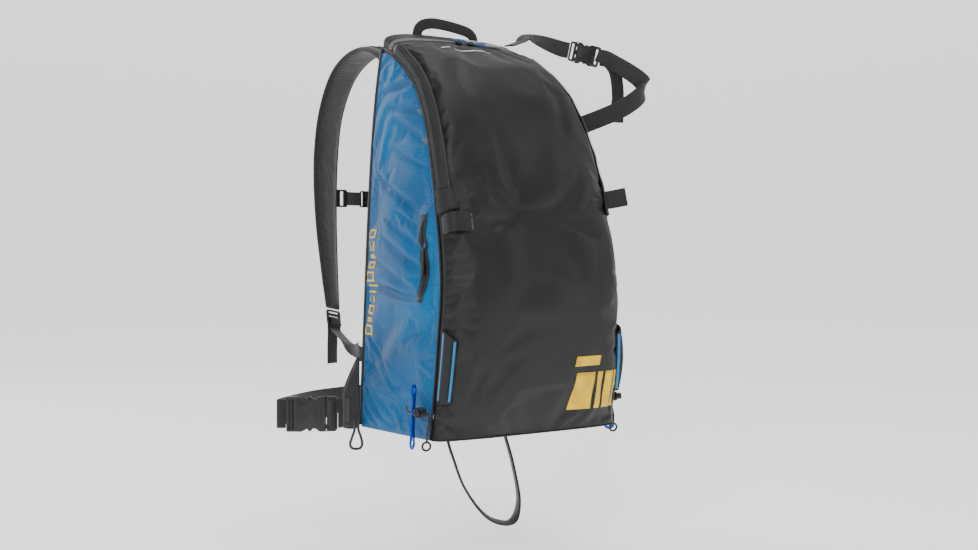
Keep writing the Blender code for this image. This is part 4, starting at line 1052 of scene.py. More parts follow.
def makeCrownAndBase():
    crown = clothSheet("crownCloth", crownSurface, 72, 14, ("blackCoated", "greyLining"), (0.25, 0.04))
    thicken(crown, 0.0014, -1.0, 0, 1)
    settle(crown, "shell", "black_coated_cloth", "crown_panel")

    def under(u, v):
        front = wrapped(0.0, 2 * u - 1, -0.0008)
        backY = pack["backY"] - 0.001
        y = front.y + (backY - front.y) * v
        sag = 0.0012 * math.sin(math.pi * u) * math.sin(math.pi * v)
        return Vector(
            (front.x, y, pack["baseZ"] - 0.0008 - sag + 0.0006 * noise.noise(Vector((u * 6, v * 4, 5))))
        )

    base = clothSheet("baseCloth", under, 64, 40, ("blackPatch", "greyLining"), (0.29, 0.19))
    base.data.flip_normals()
    thicken(base, 0.0018, -1.0, 0, 1)
    settle(base, "shell", "black_coated_cloth", "base_panel")


makeCrownAndBase()

piping = {"radius": 0.0015, "stitchSpacing": 0.0034, "stitchLength": 0.0024, "thread": 0.00035}


def makePiping():
    # a corded edge down both sides of the lower front, where no zip runs, and round the base
    bm = bmesh.new()
    for side in (-1, 1):
        line = [
            at(side * (halfWidth(seamSpot(s).y) + 0.0002), seamSpot(s).x - 0.0002, seamSpot(s).y)
            for s in [0.002 + (hingeShare - 0.01) * i / 90 for i in range(91)]
        ]
        tubeLine(bm, line, piping["radius"], 8)
    rim = [wrapped(0.0, -1 + 2 * i / 90, 0.0) for i in range(91)]
    for p in rim:
        p.z = pack["baseZ"] + 0.0004
    tubeLine(bm, rim, 0.0012, 8)
    bmesh.ops.recalc_face_normals(bm, faces=bm.faces)
    settle(newPiece("piping", bm, "blackPatch", 60), "shell", "black_coated_cloth")
    lines = [
        [
            flipX(p) if side > 0 else p for p in [
                sidePoint(0.01 + 0.93 * i / 160, 0.965, 0.0006) for i in range(161)
            ]
        ] for side in (-1, 1)
    ]
    thread = repeatPiece(
        "sideStitches",
        lines,
        (None, None),
        "blueThread",
        piping["stitchSpacing"],
        piping["stitchLength"],
        piping["thread"]
    )
    settle(thread, "shell", "blue_ripstop")


makePiping()

mainZip = {
    "tapeWidth": 0.011,
    "tapeThickness": 0.0006,
    "toothPitch": 0.0016,
    "toothLength": 0.0046,
    "toothRadius": 0.0007
}


def zipPath():
    # up the left seam, with the ways across it, across the top and down the right seam
    shares = [hingeShare + (zipShare - hingeShare) * i / 80 for i in range(81)]
    left, leftWays = [], []
    for share in shares:
        seam, normal = seamSpot(share), seamNormal(share)
        left.append(at(-halfWidth(seam.y) + 0.0002, seam.x, seam.y))
        leftWays.append(Vector((0.0, -normal.x, normal.y)))
    top = [wrapped(zipShare, i / 40, -0.0006) for i in range(-39, 40)]
    right = [flipX(p) for p in reversed(left)]
    return left, leftWays, top, right


def makeMainZip():
    z = mainZip
    left, leftWays, top, right = zipPath()
    way = seamSpot(zipShare + 0.01) - seamSpot(zipShare - 0.01)
    back = Vector((0, -way.x, way.y)).normalized()
    for name, line, ways in (
        ("Left", left, leftWays),
        ("Top", top, [back] * len(top)),
        ("Right", right, [Vector((-w.x, w.y, w.z)) for w in reversed(leftWays)]),
    ):
        teeth = repeatPiece(
            f"zipTeeth{name}",
            [line],
            [ways],
            "blackAcetal",
            z["toothPitch"],
            z["toothLength"],
            z["toothRadius"],
            8
        )
        settle(teeth, "shell", "black_acetal", *(["main_zip_chain"] if name == "Top" else []))
        for half, sign in (("Pack", 1), ("Flap", -1)):
            off = z["toothLength"] * 0.42 + z["tapeWidth"] / 2
            path, sides = [], []
            for i, (p, w) in enumerate(zip(line, ways)):
                wave = 0.0010 * math.sin(i * 0.42) if name != "Top" else 0.0
                shift = w * -sign * off if name != "Top" else w * sign * off
                inner = Vector((0, 0, 0)) if name == "Top" else Vector(
                    (math.copysign(0.0012 + wave, -p.x), 0, 0)
                )
                path.append(p + shift + inner)
                sides.append(w)
            bm = bmesh.new()
            strap(bm, path[::3], sides[::3], z["tapeWidth"], z["tapeThickness"], 2)
            bmesh.ops.recalc_face_normals(bm, faces=bm.faces)
            tape = newPiece(f"zipTape{name}{half}", bm, "zipTape", 50)
            settle(tape, "shell" if half == "Pack" else "front_flap", "black_webbing")


makeMainZip()

bands = {"thickness": 0.0020}


def makeZipBands():
    # the stiff rolled bands beside the zip, on the flap: one down each side
    for side in (-1, 1):
        word = "Left" if side < 0 else "Right"
        low, high = hingeShare + 0.012, zipShare - 0.018
        def surface(u, v):
            swell = 0.0006 * math.sin(v * 33)
            return wrapped(
                low + (high - low) * v, side * (0.970 - 0.27 * u), 0.0012 + swell * math.sin(math.pi * u)
            )

        band = clothSheet(f"zipBand{word}", surface, 14, 90, "blackPatch", (0.02, 0.22))
        if side > 0:
            band.data.flip_normals()
        thicken(band, bands["thickness"], 1.0)
        settle(band, "front_flap", "black_coated_cloth")
        lines = [
            [
                wrapped(
                    low + (high - low) * i / 60, side * across, bands["thickness"] + 0.0016
                ) for i in range(61)
            ]
            for across in (0.935, 0.735)
        ]
        thread = repeatPiece(
            f"zipBandStitches{word}", lines, (None, None), "greyThread", 0.0034, 0.0024, 0.0003
        )
        settle(thread, "front_flap", "black_coated_cloth")
        # the patch at the band's lower end, over the zip's stop
        rows = []
        for j in range(9):
            share = hingeShare - 0.040 + 0.052 * j / 8
            rows.append(
                [
                    wrapped(
                        share, side * (1.0 - 0.40 * i / 12 * (1 - 0.25 * (j / 8))), 0.0016
                    ) for i in range(13)
                ]
            )
        patch = clothSheet(
            f"zipEndPatch{word}",
            lambda u,
            v: rows[round(v * 8)][round(u * 12)],
            12,
            8,
            "blackPatch",
            (0.05, 0.03)
        )
        if side > 0:
            patch.data.flip_normals()
        thicken(patch, 0.0012, 1.0)
        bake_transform(patch)


makeZipBands()
print("zips and bands made")

# ---- prints: plain shapes, where a maker would put a name


def inkShape(name, spot, corners, finish, lift=0.00035):
    # a thin print laid on a surface; corners are polygons in the surface's own (u, v)
    bm = bmesh.new()
    for outline in corners:
        steps = 8
        grid = []
        for j in range(steps + 1):
            row = []
            for i in range(steps + 1):
                s, t = i / steps, j / steps
                bottom = Vector(outline[0]).lerp(Vector(outline[1]), s)
                top = Vector(outline[3]).lerp(Vector(outline[2]), s)
                u, v = bottom.lerp(top, t)
                row.append(bm.verts.new(spot(u, v, lift)))
            grid.append(row)
        for j in range(steps):
            for i in range(steps):
                bm.faces.new((grid[j][i], grid[j][i + 1], grid[j + 1][i + 1], grid[j + 1][i]))
    piece = newPiece(name, bm, finish, 60)
    return piece


def snapTo(piece, target, lift, way):
    # lays each point just off the target's surface, looking along way
    tree = target.data
    net = BVHTree.FromPolygons([v.co for v in tree.vertices], [p.vertices for p in tree.polygons])
    for vertex in piece.data.vertices:
        hit = net.ray_cast(vertex.co - way * 0.03, way)
        if hit[0] is not None:
            vertex.co = hit[0] - way * lift
    return piece


def makePrints():
    # the row of bars up the blue side, and the block on the lower front
    bars = []
    low, wide = 0.214, (0.045, 0.185)
    for kind, tall in zip("fbfsbffbsf", (20, 8, 18, 12, 16, 20, 14, 8, 20, 18)):
        high, pen = low + tall / 1000 * 1.15, 0.0042
        across = 0.022
        if kind in "fs":
            bars.append([(wide[0], low), (wide[0] + across, low), (wide[0] + across, high), (wide[0], high)])
            bars.append([(wide[1] - across, low), (wide[1], low), (wide[1], high), (wide[1] - across, high)])
        if kind in "fb":
            for foot in (low, high - pen):
                bars.append([(wide[0], foot), (wide[1], foot), (wide[1], foot + pen), (wide[0], foot + pen)])
        low = high + 0.0075
    left = inkShape("sidePrint", lambda u, v, lift: sidePoint(v, u, lift), bars, "yellowInk")
    snapTo(left, bpy.data.objects["sidePanelLeft"], 0.0004, Vector((1, 0, 0)))
    blocks = []
    x = 0.09
    for width in (0.16, 0.06, 0.13, 0.09):
        blocks.append([(x, 0.048), (x + width, 0.048), (x + width + 0.03, 0.135), (x + 0.03, 0.135)])
        x += width + 0.035
    blocks.append([(0.10, 0.150), (0.32, 0.150), (0.33, 0.172), (0.11, 0.172)])
    front = inkShape("frontPrint", lambda u, v, lift: wrapped(v, u, lift), blocks, "yellowInk")
    snapTo(front, bpy.data.objects["frontSheet"], 0.0004, Vector((0, 1, 0)))
    dashes = [
        [(-0.175, 0.905), (-0.105, 0.905), (-0.105, 0.909), (-0.175, 0.909)],
        [(-0.075, 0.9025), (0.045, 0.9025), (0.045, 0.9058), (-0.075, 0.9058)]
    ]
    label = inkShape("topPrint", lambda u, v, lift: wrapped(v, u, lift), dashes, "whiteInk")
    snapTo(label, bpy.data.objects["frontSheet"], 0.0005, Vector((0, 0.55, -0.83)))
    for piece, body in ((left, "shell"), (front, "shell"), (label, "front_flap")):
        thicken(piece, 0.0002, 0.0)
        settle(piece, body, "blue_ripstop" if piece is left else "black_coated_cloth")


makePrints()
print("prints made")

# ---- side pocket zip

pocketZip = {"out": 0.146, "up": 0.272, "length": 0.100}


def pocketFrame():
    top = shareWhere(lambda out, up: up >= pocketZip["up"])
    low = shareWhere(lambda out, up: up >= pocketZip["up"] - 0.08)

    def spot(share):
        return sidePoint(share, (pocketZip["out"] - 0.002) / (seamSpot(share).x - 0.002))

    return frameAt(spot(top), spot(low) - spot(top), (0, -1, 0))


def makeSlider(name, matrix, length, finish="blackAcetal"):
    # a coil-zip slider: a domed body with a waist and the bridge that its pull hangs from
    bm = bmesh.new()
    half = length / 2
    outline = [
        (-half, -0.0030),
        (-half * 0.2, -0.0042),
        (half, -0.0034),
        (half, 0.0034),
        (-half * 0.2, 0.0042),
        (-half, 0.0030)
    ]
    addPlate(
        bm,
        [roundedOutline(outline, 0.0012)],
        0.0024,
        matrix @ Matrix.Translation((0, 0, -0.0006)),
        0.0006,
        3
    )
    bridge = [
        Vector((-half * 0.7, 0, 0.0006)),
        Vector((-half * 0.35, 0, 0.0018)),
        Vector((half * 0.3, 0, 0.0018)),
        Vector((half * 0.7, 0, 0.0006))
    ]
    tubeLine(bm, [matrix @ p for p in smoothLine(bridge, 5)], 0.0008, 8)
    bmesh.ops.recalc_face_normals(bm, faces=bm.faces)
    return newPiece(name, bm, finish, 45)


def makePull(name, matrix, length, tip, wide=0.0034):
    # a loop of cord through the slider, both runs gathered in a moulded tip
    bm = bmesh.new()
    runs = [
        [
            Vector((length * 0.62, -0.0014, 0)),
            Vector((length * 0.3, -0.0022, 0)),
            Vector((0.002, -0.0016, 0)),
            Vector((0.0004, 0, 0)),
            Vector((0.002, 0.0016, 0)),
            Vector((length * 0.3, 0.0022, 0)),
            Vector((length * 0.62, 0.0014, 0))
        ]
    ]
    for run in runs:
        tubeLine(bm, [matrix @ p for p in smoothLine(run, 6)], 0.00095, 8)
    bmesh.ops.recalc_face_normals(bm, faces=bm.faces)
    cord = newPiece(name + "Cord", bm, "blueCord", 60)
    bm = bmesh.new()
    start = length * 0.42
    outline = roundedOutline(
        [(start, -wide * 0.8), (length, -wide), (length, wide), (start, wide * 0.8)], 0.0016
    )
    addPlate(bm, [outline], 0.0030, matrix, 0.0011, 4)
    for i in range(3):
        place = matrix @ Matrix.Translation((start + (length - start) * (0.42 + 0.12 * i), 0, 0))
        addBlock(bm, (0.0012, wide * 1.7, 0.0034), place, 0.0004, 2)
    grip = newPiece(name + "Grip", bm, tip, 45)
    return cord, grip


def makeZipPulls():
    frameTop = lambda x: frameAt(
        (x, wrapped(zipShare, 0.0).y, wrapped(zipShare, 0.0).z),
        (1, 0, 0),
        (
            0,
            -(seamSpot(zipShare + 0.01) - seamSpot(zipShare - 0.01)).x,
            (seamSpot(zipShare + 0.01) - seamSpot(zipShare - 0.01)).y
        )
    )
    lift = 0.0028
    for name, x, behind in (("left", -0.010, 0.009), ("right", 0.010, 0.0)):
        base = frameTop(x)
        slider = makeSlider(f"zipSlider{name.title()}", base @ Matrix.Translation((0, 0, lift)), 0.009)
        settle(slider, f"zip_slider_{name}", "black_acetal", f"zip_slider_{name}")
        start = 0.0045 + 0.0005 if name == "right" else -0.0045
        cord, grip = makePull(
            f"zipPull{name.title()}", base @ Matrix.Translation((start, behind, lift)), 0.046, "greyRubber"
        )
        settle(cord, f"zip_pull_{name}", "grey_pull_tab", f"zip_pull_{name}")
        settle(grip, f"zip_pull_{name}", "grey_pull_tab")
    base = pocketFrame()
    slider = makeSlider("pocketSlider", base @ Matrix.Translation((0, 0, lift)), 0.012, "greySteel")
    settle(slider, "pocket_slider", "black_acetal", "pocket_zip_slider")
    start = 0.006 + 0.0005
    cord, grip = makePull("pocketPull", base @ Matrix.Translation((start, 0, lift)), 0.062, "blackAcetal")
    settle(cord, "pocket_pull", "grey_pull_tab", "pocket_zip_pull")
    settle(grip, "pocket_pull", "grey_pull_tab")
    # the pocket's opening: black tape, coil and a garage at the top
    length = pocketZip["length"]
    panel = bpy.data.objects["sidePanelLeft"]
    across = [Vector((-0.008 + i * (length + 0.010) / 30, 0, 0.0009)) for i in range(31)]
    path = [base @ p for p in across]
    way = base.to_3x3() @ Vector((0, 1, 0))
    tape = strapPiece("pocketTape", path[::3], way, 0.0125, 0.0007, "blackWebbing", 4)
    settle(snapStrap(tape, panel, 0.0006), "shell", "black_webbing")
    line = [base @ Vector((i * length / 60, 0, 0.0014)) for i in range(61)]
    line = [p + Vector((0.0, 0, 0)) for p in line]
    teeth = repeatPiece("pocketTeeth", [line], [way], "blackAcetal", 0.0015, 0.0036, 0.0006, 8)
    settle(snapStrap(teeth, panel, 0.0012), "shell", "black_acetal")
    bm = bmesh.new()
    outline = roundedOutline(
        [(-0.012, -0.0066), (-0.001, -0.0066), (-0.001, 0.0066), (-0.012, 0.0066)], 0.002
    )
    addPlate(bm, [outline], 0.0011, base @ Matrix.Translation((0, 0, 0.0017)), 0.0004, 2)
    settle(newPiece("pocketGarage", bm, "blackPatch", 45), "shell", "black_coated_cloth")


def snapStrap(piece, target, lift):
    # moves a flat piece out or in, point by point, to follow the cloth under it
    net = BVHTree.FromPolygons(
        [v.co for v in target.data.vertices], [p.vertices for p in target.data.polygons]
    )
    for vertex in piece.data.vertices:
        hit = net.ray_cast(Vector((-0.25, vertex.co.y, vertex.co.z)), Vector((1, 0, 0)))
        if hit[0] is not None and abs(hit[0].x - vertex.co.x) < 0.012:
            base = pocketPlaneX(vertex.co)
            vertex.co.x += hit[0].x - base - lift * 0.3
    return piece


def pocketPlaneX(spot):
    # where the unpuckered pocket plane lies at this height
    base = pocketFrame()
    normal = base.to_3x3() @ Vector((0, 0, 1))
    return base.translation.x - (
        (spot.y - base.translation.y) * normal.y + (spot.z - base.translation.z) * normal.z
    ) / normal.x


makeZipPulls()
print("pulls made")

# ---- padded pieces: two faces sewn along a rim, blown up as cloth between their seams


def padPiece(name, spot, columns, rows, finish, held, pressure, cap, frames=12):
    # spot(u, v, face): face 1 lies outside and face -1 inside, and the two meet along the rim
    bm = bmesh.new()
    layer = bm.loops.layers.uv.new("cloth")
    keys, grids = [], {}
    for face in (1, -1):
        grid = []
        for j in range(rows + 1):
            row = []
            for i in range(columns + 1):
                rim = i in (0, columns) or j in (0, rows)
                if rim and face == -1:
                    row.append(grids[1][j][i])
                    continue
                row.append(bm.verts.new(spot(i / columns, j / rows, 0 if rim else face)))
                keys.append((i / columns, j / rows, 0 if rim else face))
            grid.append(row)
        grids[face] = grid
        for j in range(rows):
            for i in range(columns):
                corners = (grid[j][i], grid[j][i + 1], grid[j + 1][i + 1], grid[j + 1][i])
                made = bm.faces.new(corners if face == 1 else corners[::-1])
                for loop in made.loops:
                    loop[layer].uv = (i / columns * 0.06, j / rows * 0.5)
    bm.verts.index_update()
    bmesh.ops.recalc_face_normals(bm, faces=bm.faces)
    piece = newPiece(name, bm, finish, 180)
    relax(piece, lambda i, p: 1.0 if held(*keys[i]) else 0.0, 0.0, pressure, frames, cap, 14.0, 0.8)
    finer = piece.modifiers.new("finer", "SUBSURF")
    finer.levels = finer.render_levels = 1
    applied(piece)
    piece.data.shade_smooth()
    return piece


backPad = {
    "thickness": 0.008, "grooveWidth": 0.010, "rows": 96, "columns": 60, "pressure": 3.0, "cap": 0.0025
}
backGrooves = (0.125, 0.215, 0.305, 0.395)  # heights of the channels across the back


def makeBackPanel():
    b = backPad
    height = pack["height"] - 0.010
    base = pack["backY"] + 0.0006

    def outline(v):
        up = 0.004 + height * v
        wide = halfWidth(up) - 0.002
        corner = 0.022
        if up > 0.004 + height - corner:
            over = (up - (0.004 + height - corner)) / corner
            wide -= corner * (1 - math.sqrt(max(0.0, 1 - over * over))) * 0.9
        return up, wide

    def spot(u, v, face):
        up, wide = outline(v)
        x = (2 * u - 1) * wide
        edge = min((1 - abs(2 * u - 1)) * wide, min(v, 1 - v) * height)
        full = b["thickness"] * min(1.0, math.sqrt(max(0.0, edge / 0.010)))
        groove = min(
            [abs(x) / 0.011] + [abs(up - g - abs(x) * 0.18) / (b["grooveWidth"] / 2) for g in backGrooves]
        )
        full *= 0.42 + 0.58 * ease(groove)
        return Vector((x, base + (full if face == 1 else 0.0015 if face == 0 else 0.0), pack["baseZ"] + up))

    def held(u, v, face):
        up, wide = outline(v)
        x = (2 * u - 1) * wide
        groove = min([abs(x) / 0.006] + [abs(up - g - abs(x) * 0.18) / 0.003 for g in backGrooves])
        return face <= 0 or groove < 1 or min(u, 1 - u) < 0.02 or min(v, 1 - v) < 0.012

    pad = padPiece("backPad", spot, b["columns"], b["rows"], "blackMesh", held, b["pressure"], b["cap"])
    settle(pad, "shell", "black_spacer_mesh", "back_panel")
    lines = []
    for g in backGrooves:
        for side in (-1, 1):
            run = []
            for i in range(31):
                x = side * (0.014 + 0.088 * i / 30)
                run.append(
                    Vector((x, base + b["thickness"] * 0.42 + 0.0004, pack["baseZ"] + g + abs(x) * 0.18))
                )
            lines.append(run)
    for side in (-1, 1):
        lines.append(
            [
                Vector(
                    (
                        side * 0.003,
                        base + b["thickness"] * 0.42 + 0.0004,
                        pack["baseZ"] + 0.03 + 0.44 * i / 60
                    )
                ) for i in range(61)
            ]
        )
    bm = bmesh.new()
    for side in (-1, 1):  # a cord in the seam where each side panel meets the back
        ups = [0.002 + (pack["height"] - 0.004) * i / 70 for i in range(71)]
        tubeLine(bm, [at(side * (halfWidth(up) - 0.0012), -0.0008, up) for up in ups], 0.0030, 8)
    bmesh.ops.recalc_face_normals(bm, faces=bm.faces)
    settle(newPiece("backPiping", bm, "blackBinding", 60), "shell", "black_coated_cloth")
    thread = repeatPiece("backStitches", lines, [None] * len(lines), "greyThread", 0.0036, 0.0026, 0.0003)
    settle(thread, "shell", "black_spacer_mesh")

    def lumbar(u, v, face):
        a, c = 2 * u - 1, 2 * v - 1
        x, z = a * math.sqrt(1 - 0.32 * c * c) * 0.100, c * math.sqrt(1 - 0.32 * a * a) * 0.050
        edge = min(1 - abs(a), 1 - abs(c))
        full = 0.0060 * min(1.0, math.sqrt(max(0.0, edge / 0.22)))
        return Vector((x * 0.995, -0.0060 + (full if face == 1 else 0.0006 if face == 0 else 0.0), z * 0.995))

    pad = padPiece(
        "lumbarPad",
        lumbar,
        44,
        26,
        "blackMesh",
        lambda u,
        v,
        f: f <= 0 or abs(u - 0.5) < 0.012,
        2.0,
        0.0008
    )
    settle(pad, "shell", "black_spacer_mesh", "lumbar_pad")


makeBackPanel()
print("back made")

strapPad = {
    "width": 0.051,
    "thickness": 0.010,
    "twist": 21,
    "ends": (0.98, 0.86, 0.66, 0.48),
    "binding": 0.0019,
    "daisyWidth": 0.020,
}
strapRoute = (  # (x, towards the wearer, share of the height) of the left strap
    (-0.062, 0.0150, 0.8448),
    (-0.064, 0.0190, 0.9194),
    (-0.069, 0.0430, 0.9882),
    (-0.076, 0.0920, 1.0180),
    (-0.086, 0.1420, 0.9700),
    (-0.095, 0.1690, 0.8600),
    (-0.102, 0.1730, 0.7200),
    (-0.108, 0.1620, 0.5600),
    (-0.113, 0.1440, 0.4180),
    (-0.118, 0.1250, 0.3020),
)
strapLine = smoothLine([at(x, -wearer, share * pack["height"]) for x, wearer, share in strapRoute])
strapRun = runLengths(strapLine)


def strapSpot(share):
    way = (
        pointAlong(strapLine, share + 0.01, strapRun) - pointAlong(strapLine, share - 0.01, strapRun)
    ).normalized()
    twist = math.radians(strapPad["twist"])
    across = Vector((math.cos(twist), math.sin(twist), 0.0))
    return pointAlong(strapLine, share, strapRun), way, (across - way * across.dot(way)).normalized()


def makeShoulderStraps():
    s = strapPad
    rows = 150
    turned = smoothLine([(t, 0.0) for t in (0, 0, 0.2, 0.5, 0.8, 1, 1, 1, 1, 1)])
    widths = smoothLine([(w * s["width"], 0.0) for w in (1, 1, 1, 1, 1, 1, *s["ends"])])
    line = strapLine
    steps = len(line) - 1
    frames = []
    for j in range(rows + 1):
        k = j / rows * steps
        low, high = int(k), min(steps, int(k) + 1)
        part = k - low
        spot = line[low].lerp(line[high], part)
        way = (line[min(steps, high + 1)] - line[max(0, low - 1)]).normalized()
        turn = math.radians(s["twist"]) * (turned[low].x * (1 - part) + turned[high].x * part)
        side = Vector((math.cos(turn), math.sin(turn), 0.0))
        side = (side - way * side.dot(way)).normalized()
        wide = widths[low].x * (1 - part) + widths[high].x * part
        frames.append((spot, way, side, way.cross(side), wide))
    if frames[rows // 2][3].y < 0:
        frames = [(a, b, c, -d, e) for a, b, c, d, e in frames]
    for mirror, word in ((0, "left"), (1, "right")):

        def spot(u, v, face):
            centre, way, side, off, wide = frames[round(v * rows)]
            edge = min((1 - abs(2 * u - 1)) * wide / 2, min(v, 1 - v) * 0.5)
            full = s["thickness"] / 2 * (0.34 + 0.66 * math.sqrt(min(1.0, edge / 0.010)))
            place = centre + side * wide * (u - 0.5) * 0.99 + off * full * face * 0.96
            return flipX(place) if mirror else place

        def held(u, v, face):
            return face == 0 or min(u, 1 - u) < 0.05 or abs(u - 0.5) < 0.02 and face == 1

        pad = padPiece(f"shoulderPad{word.title()}", spot, 18, rows, "blackMesh", held, 2.5, 0.0016)
        settle(pad, "shell", "black_spacer_mesh", f"shoulder_strap_{word}")
        bm = bmesh.new()
        for edge in (-0.5, 0.5):
            run = [f[0] + f[2] * f[4] * edge * 0.985 for f in frames[::2]]
            tubeLine(bm, [flipX(p) if mirror else p for p in run], s["binding"], 8)
        for end in (frames[0], frames[-1]):
            run = [end[0] + end[2] * end[4] * (i / 8 - 0.5) for i in range(9)]
            tubeLine(bm, [flipX(p) if mirror else p for p in run], s["binding"] * 0.95, 8)
        bmesh.ops.recalc_face_normals(bm, faces=bm.faces)
        settle(newPiece(f"shoulderBinding{word.title()}", bm, "blackBinding", 60), "shell", "black_webbing")
        # the webbing down the strap's outer face, tacked every few centimetres
        path = [f[0] + f[3] * (s["thickness"] / 2 + 0.0010) for f in frames[12:142:8]]
        sides = [f[2] for f in frames[12:142:8]]
        if mirror:
            path, sides = [flipX(p) for p in path], [flipX(p) for p in sides]
        settle(
            strapPiece(
                f"daisyChain{word.title()}", path, sides, s["daisyWidth"] * 0.8, 0.0013, "blackWebbing", 4
            ),
            "shell",
            "black_webbing"
        )
        tacks = []
        for k in range(18, 142, 12):
            f = frames[k]
            for shift in (-0.0009, 0.0009):
                run = [
                    f[0] + f[3] * (
                        s["thickness"] / 2 + 0.0019
                    ) + f[1] * shift + f[2] * (i / 10 - 0.5) * 0.013 for i in range(11)
                ]
                tacks.append([flipX(p) for p in run] if mirror else run)
        along = Vector((0, 0, 1))
        thread = repeatPiece(
            f"strapTacks{word.title()}", tacks, [along] * len(tacks), "greyThread", 0.0010, 0.0022, 0.0003
        )
        settle(thread, "shell", "black_webbing")


makeShoulderStraps()
print("shoulder straps made")

# ---- buckles and ladder locks


def makeBuckle(prefix, webbing, origin, along, across, bodies, slotName="black_acetal"):
    size = webbing / 0.038
    matrix = frameAt(origin, along, across)
    half, gap = webbing / 2 + 0.0045 * size, 0.0006
    tineReach, tineWidth = 0.030 * size, 0.0058 * size
    tineOut = half - 0.0035 * size
    thick, shell = 0.0045 * size, 0.0110 * size
    baseEnd, guide = 0.0150 * size, 0.0050 * size
    male = [
        (gap, -half),
        (gap, -tineOut),
        (-tineReach * 0.62, -tineOut),
        (-tineReach * 0.66, -tineOut - 0.0030 * size),
        (-tineReach * 0.78, -tineOut - 0.0030 * size),
        (-tineReach, -tineOut + tineWidth),
        (gap, -tineOut + tineWidth),
        (gap, -guide),
        (-tineReach * 0.8, -guide),
    ]
    male += [(x, -y) for x, y in reversed(male)]
    male += [(baseEnd - 0.003 * size, half), (baseEnd, half - 0.003 * size)]
    male += [(baseEnd, -half + 0.003 * size), (baseEnd - 0.003 * size, -half)]
    slot = rectangle(baseEnd * 0.58, 0, 0.0045 * size, webbing + 0.001)
    bm = bmesh.new()
    addPlate(bm, [male, roundedOutline(slot, 0.0009)], thick, matrix, 0.0007 * size + 0.0002, 2)
    for side in (-1, 1):  # the shoulders that stand up beside the mouth
        place = matrix @ Matrix.Translation((0.0022 * size, side * (half - 0.0030 * size), 0))
        addBlock(bm, (0.0036 * size, 0.0056 * size, shell * 0.86), place, 0.0009 * size)
    bar = matrix @ Matrix.Translation((baseEnd - 0.0014 * size, 0, 0))
    addBlock(bm, (0.0026 * size, webbing + 0.004 * size, thick * 1.5), bar, 0.0009 * size)
    settle(
        newPiece(f"{prefix}BuckleMale", bm, "blackAcetal", 40), bodies[0], slotName, f"{prefix}_buckle_male"
    )
    bodyEnd, frameEnd = -0.040 * size, -0.053 * size
    waist = half - 0.005 * size
    side = [(-gap, -half), (-0.006 * size, -half)]
    side += [
        (x * size, -half + (half - waist) * ease((a) / 4)) for a,
        x in enumerate((-0.008, -0.010, -0.012, -0.014, -0.016))
    ]
    side += [
        (x * size, -half + (half - waist) * ease(1 - (a) / 4)) for a,
        x in enumerate((-0.022, -0.025, -0.028, -0.031, -0.034))
    ]
    cover = side + [(-0.0385 * size, -half)] + [(-0.0385 * size, half)] + [(x, -y) for x, y in reversed(side)]
    wall = (shell - thick - 2 * gap) / 2
    bm = bmesh.new()
    for face in (-1, 1):
        lid = matrix @ Matrix.Translation((0, 0, face * (shell - wall) / 2))
        addPlate(bm, [cover], wall, lid, wall * 0.36, 3)
        # a raised panel that narrows in the middle
        relief = [
            (-0.0345 * size, -half * 0.72), (-0.021 * size, -half * 0.34), (-0.006 * size, -half * 0.66)
        ]
        relief += [(x, -y) for x, y in reversed(relief)]
        raised = matrix @ Matrix.Translation((0, 0, face * (shell / 2 + 0.0001)))
        addPlate(bm, [roundedOutline(relief, 0.0018 * size)], 0.0012 * size, raised, 0.0005 * size, 2)
    railIn, railOut = guide + gap, tineOut - tineWidth - gap
    for face in (-1, 1):
        middle = face * (railIn + railOut) / 2
        place = matrix @ Matrix.Translation((-0.020 * size, middle, 0))
        addBlock(bm, (0.034 * size, (railOut - railIn) * 0.9, thick + 2.2 * gap), place, 0.0006 * size, 2)
    outer = [(-0.0365 * size, -half), (frameEnd, -half), (frameEnd, half), (-0.0365 * size, half)]
    hole = rectangle((bodyEnd + frameEnd) / 2 + 0.0005 * size, 0, 0.0050 * size, webbing + 0.001)
    addPlate(
        bm,
        [roundedOutline(outer, 0.0024 * size), roundedOutline(hole, 0.0009)],
        shell * 0.94,
        matrix,
        0.0016 * size,
        3
    )
    settle(
        newPiece(f"{prefix}BuckleFemale", bm, "blackAcetal", 40),
        bodies[1],
        slotName,
        f"{prefix}_buckle_female"
    )
    return matrix


hipBelt = {
    "wingHeight": 0.096,
    "wingThickness": 0.010,
    "wingLength": 0.020,
    "clearance": 0.006,
    "up": 0.046,
    "drop": 0.029,
    "buckleAt": 0.0425,
    "webbing": 0.038,
}
beltOutward = Vector((-0.84, 0.545, 0.0)).normalized()
upWay = Vector((0, 0, 1))


def tackLines(spot, across, along, width, off):
    # a bar tack: two close rows of thread across a webbing
    return [
        [
            spot + off + along * shift + across * width * (i / 12 - 0.5) for i in range(13)
        ] for shift in (-0.0012, 0.0012)
    ]


